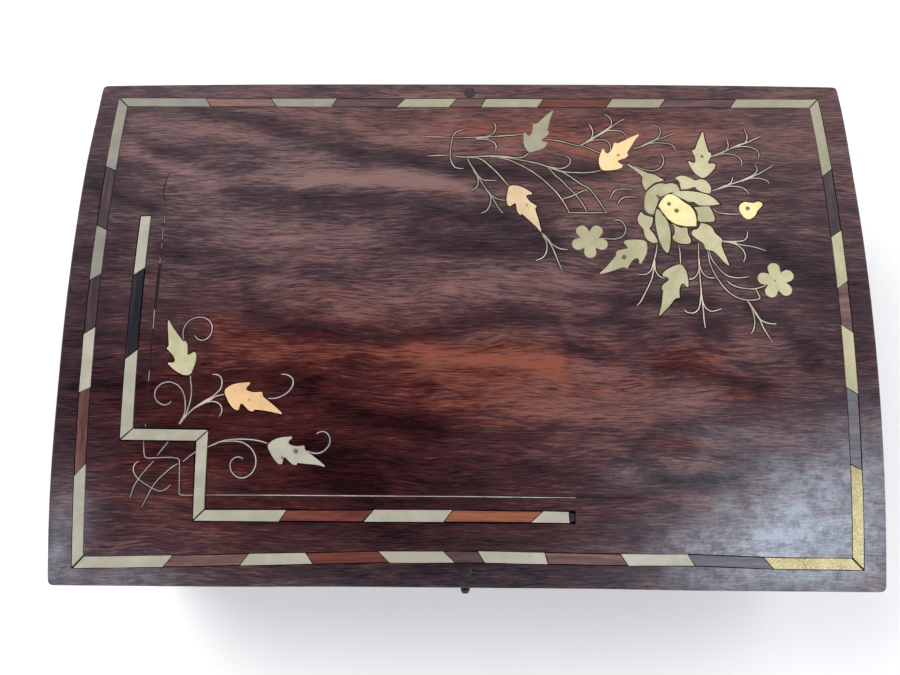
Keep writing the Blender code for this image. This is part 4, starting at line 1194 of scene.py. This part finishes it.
# Dark and pale lines of the wood's figure: strength, half width, then the line.
FIGURE_LIGHT = (
    (
        -0.34, 3.5,
        ((-90, 71), (-68, 66), (-48, 58), (-35, 54), (-24, 55), (-8, 51), (10, 48), (28, 48), (45, 50)),
    ),
    (-0.22, 2.5, ((-108, 58), (-95, 55), (-84, 50), (-72, 50))),
    (-0.32, 4.5, ((-75, 44), (-62, 41), (-48, 39), (-34, 39), (-16, 36), (0, 33), (12, 30), (25, 28))),
    (-0.28, 3.0, ((-122, 44), (-112, 40), (-102, 36))),
    (-0.3, 3.5, ((-16, 28), (-8, 24), (12, 22), (28, 22))),
    (-0.2, 2.0, ((-98, 22), (-88, 18), (-76, 16), (-62, 14))),
    (-0.32, 3.0, ((-68, -1), (-58, -4), (-48, -6), (-34, -7), (-16, -6), (0, -4), (12, -2), (28, -1))),
    (-0.3, 2.2, ((36, -3), (44, -2), (52, 4), (64, 6), (76, 4))),
    (-0.3, 2.2, ((30, -6), (32, -10), (42, -14), (62, -17), (82, -20), (92, -22))),
    (-0.3, 3.0, ((50, -4), (54, -4))), (-0.3, 3.0, ((71, -6), (77, -6))),
    (-0.25, 2.5, ((-42, -30), (-24, -34), (-8, -36))), (-0.25, 5.0, ((-48, -46), (-40, -50), (-28, -56))),
    (-0.3, 4.0, ((-60, -22), (-50, -23))), (-0.22, 2.5, ((-118, -22), (-100, -22))),
    (-0.25, 2.0, ((50, -41), (58, -36), (70, -35), (84, -38), (92, -43))),
    (-0.25, 2.0, ((50, -44), (60, -50), (76, -51), (90, -46))), (-0.15, 3.0, ((14, -36), (24, -36))),
    (-0.2, 7.0, ((84, -24), (92, -25))), (-0.22, 4.0, ((92, 24), (102, 18), (112, 14))),
    (-0.15, 14.0, ((98, 10), (118, 8))), (-0.25, 2.5, ((88, 2), (96, -4), (108, -16))),
    (0.3, 4.0, ((-112, 67), (-88, 65), (-68, 61), (-52, 60))),
    (0.3, 3.5, ((-116, 59), (-102, 52), (-82, 46), (-62, 46), (-44, 46), (-24, 47), (-8, 44), (0, 41))),
    (0.25, 2.5, ((-50, 46), (-30, 47), (-10, 45))),
    (0.2, 5.0, ((-80, 30), (-68, 26), (-48, 24), (-32, 26))),
    (0.24, 5.5, ((-62, 10), (-42, 4), (-28, 4), (-8, 8), (12, 10), (32, 12))),
    (0.22, 3.0, ((-38, 68), (-28, 62), (-8, 64))), (0.22, 3.5, ((2, 64), (24, 62), (44, 58))),
    (0.22, 4.0, ((40, 38), (48, 38))), (0.15, 3.5, ((56, 66), (82, 62))),
    (0.2, 5.0, ((-80, -8), (-62, -12), (-48, -14))),
    (0.22, 3.0, ((-16, -10), (2, -14), (20, -14), (28, -16))), (0.14, 2.0, ((-42, -38), (-20, -40))),
)
FIGURE_LIGHT_PATCHES = ((-0.3, -55, -40, 60, 32), (-0.15, 10, -50, 50, 15), (-0.1, -122, 10, 10, 80),
 (-0.15, 118, 15, 20, 25), (-0.32, 0, -80, 60, 7), (-0.24, -118, 40, 24, 34), (-0.1, -75, 14, 50, 16),
 (-0.2, -112, -20, 30, 28), (-0.12, -10, 10, 60, 8), (0.1, 62, 56, 16, 8), (0.14, 24, -22, 46, 9),
 (0.12, 40, -36, 30, 7), (-0.16, 118, -20, 14, 20), (-0.24, -20, -66, 14, 6), (-0.16, 16, -66, 26, 8),
 (-0.1, -30, -60, 80, 20), (0.16, -118, 36, 22, 16), (0.1, -80, 14, 46, 18), (0.08, 20, 62, 90, 14),
 (0.1, 0, -12, 60, 14), (0.12, 26, -24, 30, 9), (0.12, -22, 12, 16, 8), (0.06, 96, -36, 20, 12),
 (0.14, -92, -60, 24, 12), (0.13, -20, 40, 14, 7), (0.09, -62, 42, 16, 7), (0.16, 22, 27, 14, 6),
 (0.09, 60, -36, 12, 8), (0.12, 80, -20, 12, 6))
FIGURE_RED = (
    (0.55, 5.0, ((-80, -8), (-62, -12), (-48, -14))),
    (0.55, 4.0, ((-16, -10), (2, -14), (20, -14), (28, -16))), (0.5, 4.0, ((62, -14), (76, -16))),
    (0.45, 6.0, ((84, -24), (92, -25))), (0.45, 3.0, ((58, -41), (67, -41))),
    (0.35, 3.0, ((-42, -38), (-20, -40))), (0.35, 3.5, ((2, 64), (24, 62), (44, 58))),
    (0.4, 3.0, ((-96, -24), (-92, -24))), (0.4, 3.0, ((-102, -46), (-98, -46))),
)
FIGURE_RED_PATCHES = ((0.85, -60, -38, 70, 36), (0.45, 0, -20, 90, 18), (0.25, 40, 60, 60, 20),
 (0.35, 30, 68, 80, 10), (-0.15, -70, 40, 60, 24), (0.3, 0, -60, 60, 16), (-0.5, 0, -84, 140, 8),
 (-0.4, -124, -60, 12, 40))
# Bloom and painted sheen, mostly at the front right and along the left edges, where a window's reflection
# is painted into the colour: strength, place, then reach across X and Y.
BLOOM_AND_SHEEN_PATCHES = ((0.7, 105, -67, 24, 16), (0.34, 82, -75, 26, 12), (0.3, 122, -48, 14, 16), (0.1, 88, -42, 26, 13),
 (0.08, 50, -50, 9, 4), (0.22, -124, -72, 7, 14), (0.16, -108, -81, 18, 5))


def near_line(points, line):
    """Distance of each point from a line of straight stretches."""
    best = np.full(len(points), 1e9)
    for start, end in zip(line, line[1:]):
        a = np.array(start, float)
        along = np.array(end, float) - a
        share = np.clip(((points - a) @ along) / (along @ along), 0, 1)
        best = np.minimum(best, np.hypot(*(points - a - share[:, None] * along).T))
    return best


def noise_at(points, scale_x, scale_y, seed):
    places = (Vector((x * scale_x, y * scale_y, seed)) for x, y in points)
    return np.array([noise.fractal(place, 0.9, 2.0, 3) for place in places])


def mark_figure(obj):
    """Writes the wood's figure, and bloom with a painted sheen, into the panel as marks that its material
    reads.
    """
    count = len(obj.data.vertices)
    flat = np.empty(count * 3)
    obj.data.vertices.foreach_get("co", flat)
    points = flat.reshape(-1, 3)[:, :2] / MM
    wide = noise_at(points, 0.022, 0.05, 1.7)
    small = noise_at(points, 0.07, 0.20, 5.2)
    bent = points + np.stack([4.0 * wide, 1.3 * wide + 1.1 * small], 1)
    light = np.full(count, 0.60)
    red = np.full(count, 0.15)
    bloom_and_sheen = np.zeros(count)
    layers = (
        (light, FIGURE_LIGHT, FIGURE_LIGHT_PATCHES), (red, FIGURE_RED, FIGURE_RED_PATCHES),
        (bloom_and_sheen, (), BLOOM_AND_SHEEN_PATCHES),
    )
    for marks, strokes, patches in layers:
        for strength, x, y, reach_x, reach_y in patches:
            from_x, from_y = (bent[:, 0] - x) / reach_x, (bent[:, 1] - y) / reach_y
            marks += strength * np.exp(-(from_x**2) - from_y**2)
        for strength, width, line in strokes:
            marks += strength * np.exp(-((near_line(bent, line) / width) ** 2))
    light += 0.10 * small
    bloom_and_sheen *= 1 + 0.5 * small
    red, bloom_and_sheen = np.clip(red, 0, 1), np.clip(bloom_and_sheen, 0, 1)
    flow = 2.2 * wide * MM
    for name, marks in (("light", light), ("red", red), ("bloom_and_sheen", bloom_and_sheen), ("flow", flow)):
        attribute = obj.data.attributes.new(name, "FLOAT", "POINT")
        attribute.data.foreach_set("value", marks.astype(np.float32))


def smooth(value):
    value = min(max(value, 0.0), 1.0)
    return value * value * (3 - 2 * value)


def hand_cut(x, y):
    """How far a point near the panel's edge is from where a true rectangle has it, in millimetres."""
    along, across = x / (HALF_WIDTH / MM), y / (HALF_DEPTH / MM)
    near_side = smooth((abs(x) - 116) / 11)
    near_end = smooth((abs(y) - 78) / 5)
    if x > 0:
        shift_x = 0.35 + 0.5 * smooth((y - 45) / 30)
    else:
        shift_x = -0.30 - 0.70 * smooth(-(y + 15) / 50) + 0.35 * smooth((y - 50) / 25)
    shift_y = 0.50 - 1.0 * abs(along) ** 3 if y > 0 else -0.30 * smooth((abs(x) - 35) / 40)
    return shift_x * near_side, shift_y * near_end * (0.4 + 0.6 * abs(across))


def bend_down(obj):
    for vertex in obj.data.vertices:
        shift_x, shift_y = hand_cut(vertex.co.x / MM, vertex.co.y / MM)
        vertex.co.x += shift_x * MM
        vertex.co.y += shift_y * MM
        vertex.co.z = arch_height(vertex.co.y, TOP - vertex.co.z)


def make_panel():
    bpy.ops.mesh.primitive_grid_add(x_subdivisions=220, y_subdivisions=144, size=1, location=(0, 0, TOP))
    obj = bpy.context.object
    obj.scale = (2 * HALF_WIDTH, 2 * HALF_DEPTH, 1)
    bpy.ops.object.transform_apply(location=True, rotation=True, scale=True)
    with editing(obj):
        bpy.ops.mesh.extrude_region_move(TRANSFORM_OT_translate={"value": (0, 0, -PANEL_THICKNESS)})
        bpy.ops.mesh.select_all(action="SELECT")
        bpy.ops.mesh.normals_make_consistent(inside=False)
    modify(obj, "BEVEL", width=PANEL_EDGE, segments=3, limit_method="ANGLE", angle_limit=math.radians(60))
    start_x, start_y = HALF_WIDTH - CORNER_RADIUS, HALF_DEPTH - CORNER_RADIUS
    for vertex in obj.data.vertices:
        a = (abs(vertex.co.x) - start_x) / CORNER_RADIUS
        b = (abs(vertex.co.y) - start_y) / CORNER_RADIUS
        if a > 0 and b > 0:
            vertex.co.x = math.copysign(start_x + CORNER_RADIUS * a * math.sqrt(1 - b * b / 2), vertex.co.x)
            vertex.co.y = math.copysign(start_y + CORNER_RADIUS * b * math.sqrt(1 - a * a / 2), vertex.co.y)
    bend_down(obj)
    # The solver refuses a cutter that it finds non-manifold: leaf_brass_2, 3 and 4, leaf_copper_2,
    # flower_petal_1 and 2 and both small flowers. The board stays whole under those plates.
    for outlines, margin in POCKETS:
        cutter = sheet_from("cutter", outlines, POCKET_DEPTH + CUTTER_PROUD, CUTTER_PROUD, 0, margin)
        slice_across(cutter, BEND_STEP)
        lay_on_arch(cutter)
        modify(obj, "BOOLEAN", operation="DIFFERENCE", solver="MANIFOLD", object=cutter)
        bpy.data.objects.remove(cutter)
    finish_piece(obj, "lid_board", LID_WOOD, "lid")
    obj.data.materials.append(MASTIC)
    for face in obj.data.polygons:
        centre = face.center
        drop = arch_height(centre.y) - centre.z
        within = abs(centre.x) < HALF_WIDTH - RIM and abs(centre.y) < HALF_DEPTH - RIM
        if within and FILLER_DROPS[0] < drop < FILLER_DROPS[1]:
            face.material_index = 1
    mark_figure(obj)
    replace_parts(obj, "lid_top_panel")


# ---------------------------------------------------------------- case, linings and fittings

def copy_of(node, name):
    """A welded copy of a CAD node, its flat faces made whole."""
    obj = bpy.data.objects.new(name, frame["nodes"][node].data.copy())
    bpy.context.scene.collection.objects.link(obj)
    with editing(obj):
        bpy.ops.mesh.remove_doubles(threshold=2 * WELD)
        bpy.ops.mesh.dissolve_limited(angle_limit=math.radians(0.4))
        bpy.ops.mesh.normals_make_consistent(inside=False)
    return obj


def ease_edges(obj, width, shortest, angle=40, segments=2):
    """Rounds the sharp edges that are longer than a length."""
    mesh = bmesh.new()
    mesh.from_mesh(obj.data)
    chosen = [
        len(e.link_faces) == 2 and e.calc_length() > shortest and e.calc_face_angle(0) > math.radians(angle)
        for e in mesh.edges
    ]
    mesh.free()
    pick(obj)
    bpy.ops.object.mode_set(mode="EDIT")
    bpy.ops.mesh.select_mode(type="EDGE")
    bpy.ops.mesh.select_all(action="DESELECT")
    bpy.ops.object.mode_set(mode="OBJECT")
    for edge, wanted in zip(obj.data.edges, chosen):
        edge.select = wanted
    bpy.ops.object.mode_set(mode="EDIT")
    bpy.ops.mesh.bevel(offset=width, segments=segments, affect="EDGES")
    bpy.ops.object.mode_set(mode="OBJECT")


def make_case():
    boards = (
        ("body_front", "case_front", CASE_WOOD, "case"), ("body_back", "case_back", CASE_WOOD, "case"),
        ("body_left", "case_left", CROSS_WOOD, "case"), ("body_right", "case_right", CROSS_WOOD, "case"),
        ("base_panel", "case_base", CASE_WOOD, "case"), ("lid_front_rail", "rail_front", CASE_WOOD, "lid"),
        ("lid_back_rail", "rail_back", CASE_WOOD, "lid"), ("lid_left_end", "end_left", CROSS_WOOD, "lid"),
        ("lid_right_end", "end_right", CROSS_WOOD, "lid"),
    )
    for node, name, material, body in boards:
        obj = copy_of(node, name)
        ease_edges(obj, 0.0004, 0.012)
        finish_piece(obj, name, material, body)
        modify(obj, "WEIGHTED_NORMAL", keep_sharp=True, weight=100)
        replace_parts(obj, node)


def make_fittings():
    for node in frame["nodes"]:
        if node.startswith(("hinge_", "hook_screw", "catch_pin", "latch_hook")):
            body = frame["nodes"][node]["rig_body"]
            name = "fitting_" + node
            obj = copy_of(node, name)
            if "leaf" in node:
                ease_edges(obj, 0.00015, 0.002)
            elif node == "latch_hook":
                ease_edges(obj, 0.00018, 0.0002, angle=50)
            elif node in ("hook_screw", "catch_pin"):
                ease_edges(obj, 0.0003, 0.0001, angle=60)
            material = DARK_BRASS if node == "hook_screw" else HARDWARE
            finish_piece(obj, name, material, body)
            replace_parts(obj, node)


def make_lining(node, name, body):
    """Velvet on card, with soft edges."""
    obj = copy_of(node, name)
    ease_edges(obj, 0.0005, 0.001, segments=3)
    with editing(obj):
        bpy.ops.mesh.quads_convert_to_tris()
    slice_across(obj, 0.006)
    finish_piece(obj, name, VELVET, body)
    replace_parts(obj, node)


def make_linings():
    make_lining("lining_floor", "velvet_floor", "case")
    make_lining("lining_front", "velvet_front", "case")
    make_lining("lining_back", "velvet_back", "case")
    make_lining("lining_left", "velvet_left", "case")
    make_lining("lining_right", "velvet_right", "case")
    make_lining("lid_lining", "velvet_lid", "lid")


def make_plugs():
    for node, name in (("panel_plug_front", "plug_front"), ("panel_plug_back", "plug_back")):
        low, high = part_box(node)
        centre, radius = (low + high) / 2, (high.x - low.x) / 2
        obj = domed_disc(centre.x, centre.y, radius, *PLUG_SHAPE)
        finish_piece(obj, name, PLUG, "lid")
        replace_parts(obj, node)
        turns = [math.tau * i / 12 for i in range(12)]
        rim = [
            ((centre.x + radius * math.cos(a)) / MM, (centre.y + radius * math.sin(a)) / MM) for a in turns
        ]
        POCKETS.append(([outline_of(rim, "." * 12)], PLUG_MARGIN))


make_camera()
make_world()
make_floor()
make_key_light()

make_border()
make_step_frame()
make_leaves_and_flowers()
make_plugs()
make_wires()
make_panel()
make_case()
make_linings()
make_fittings()

bpy.context.scene.view_settings.view_transform = "Standard"
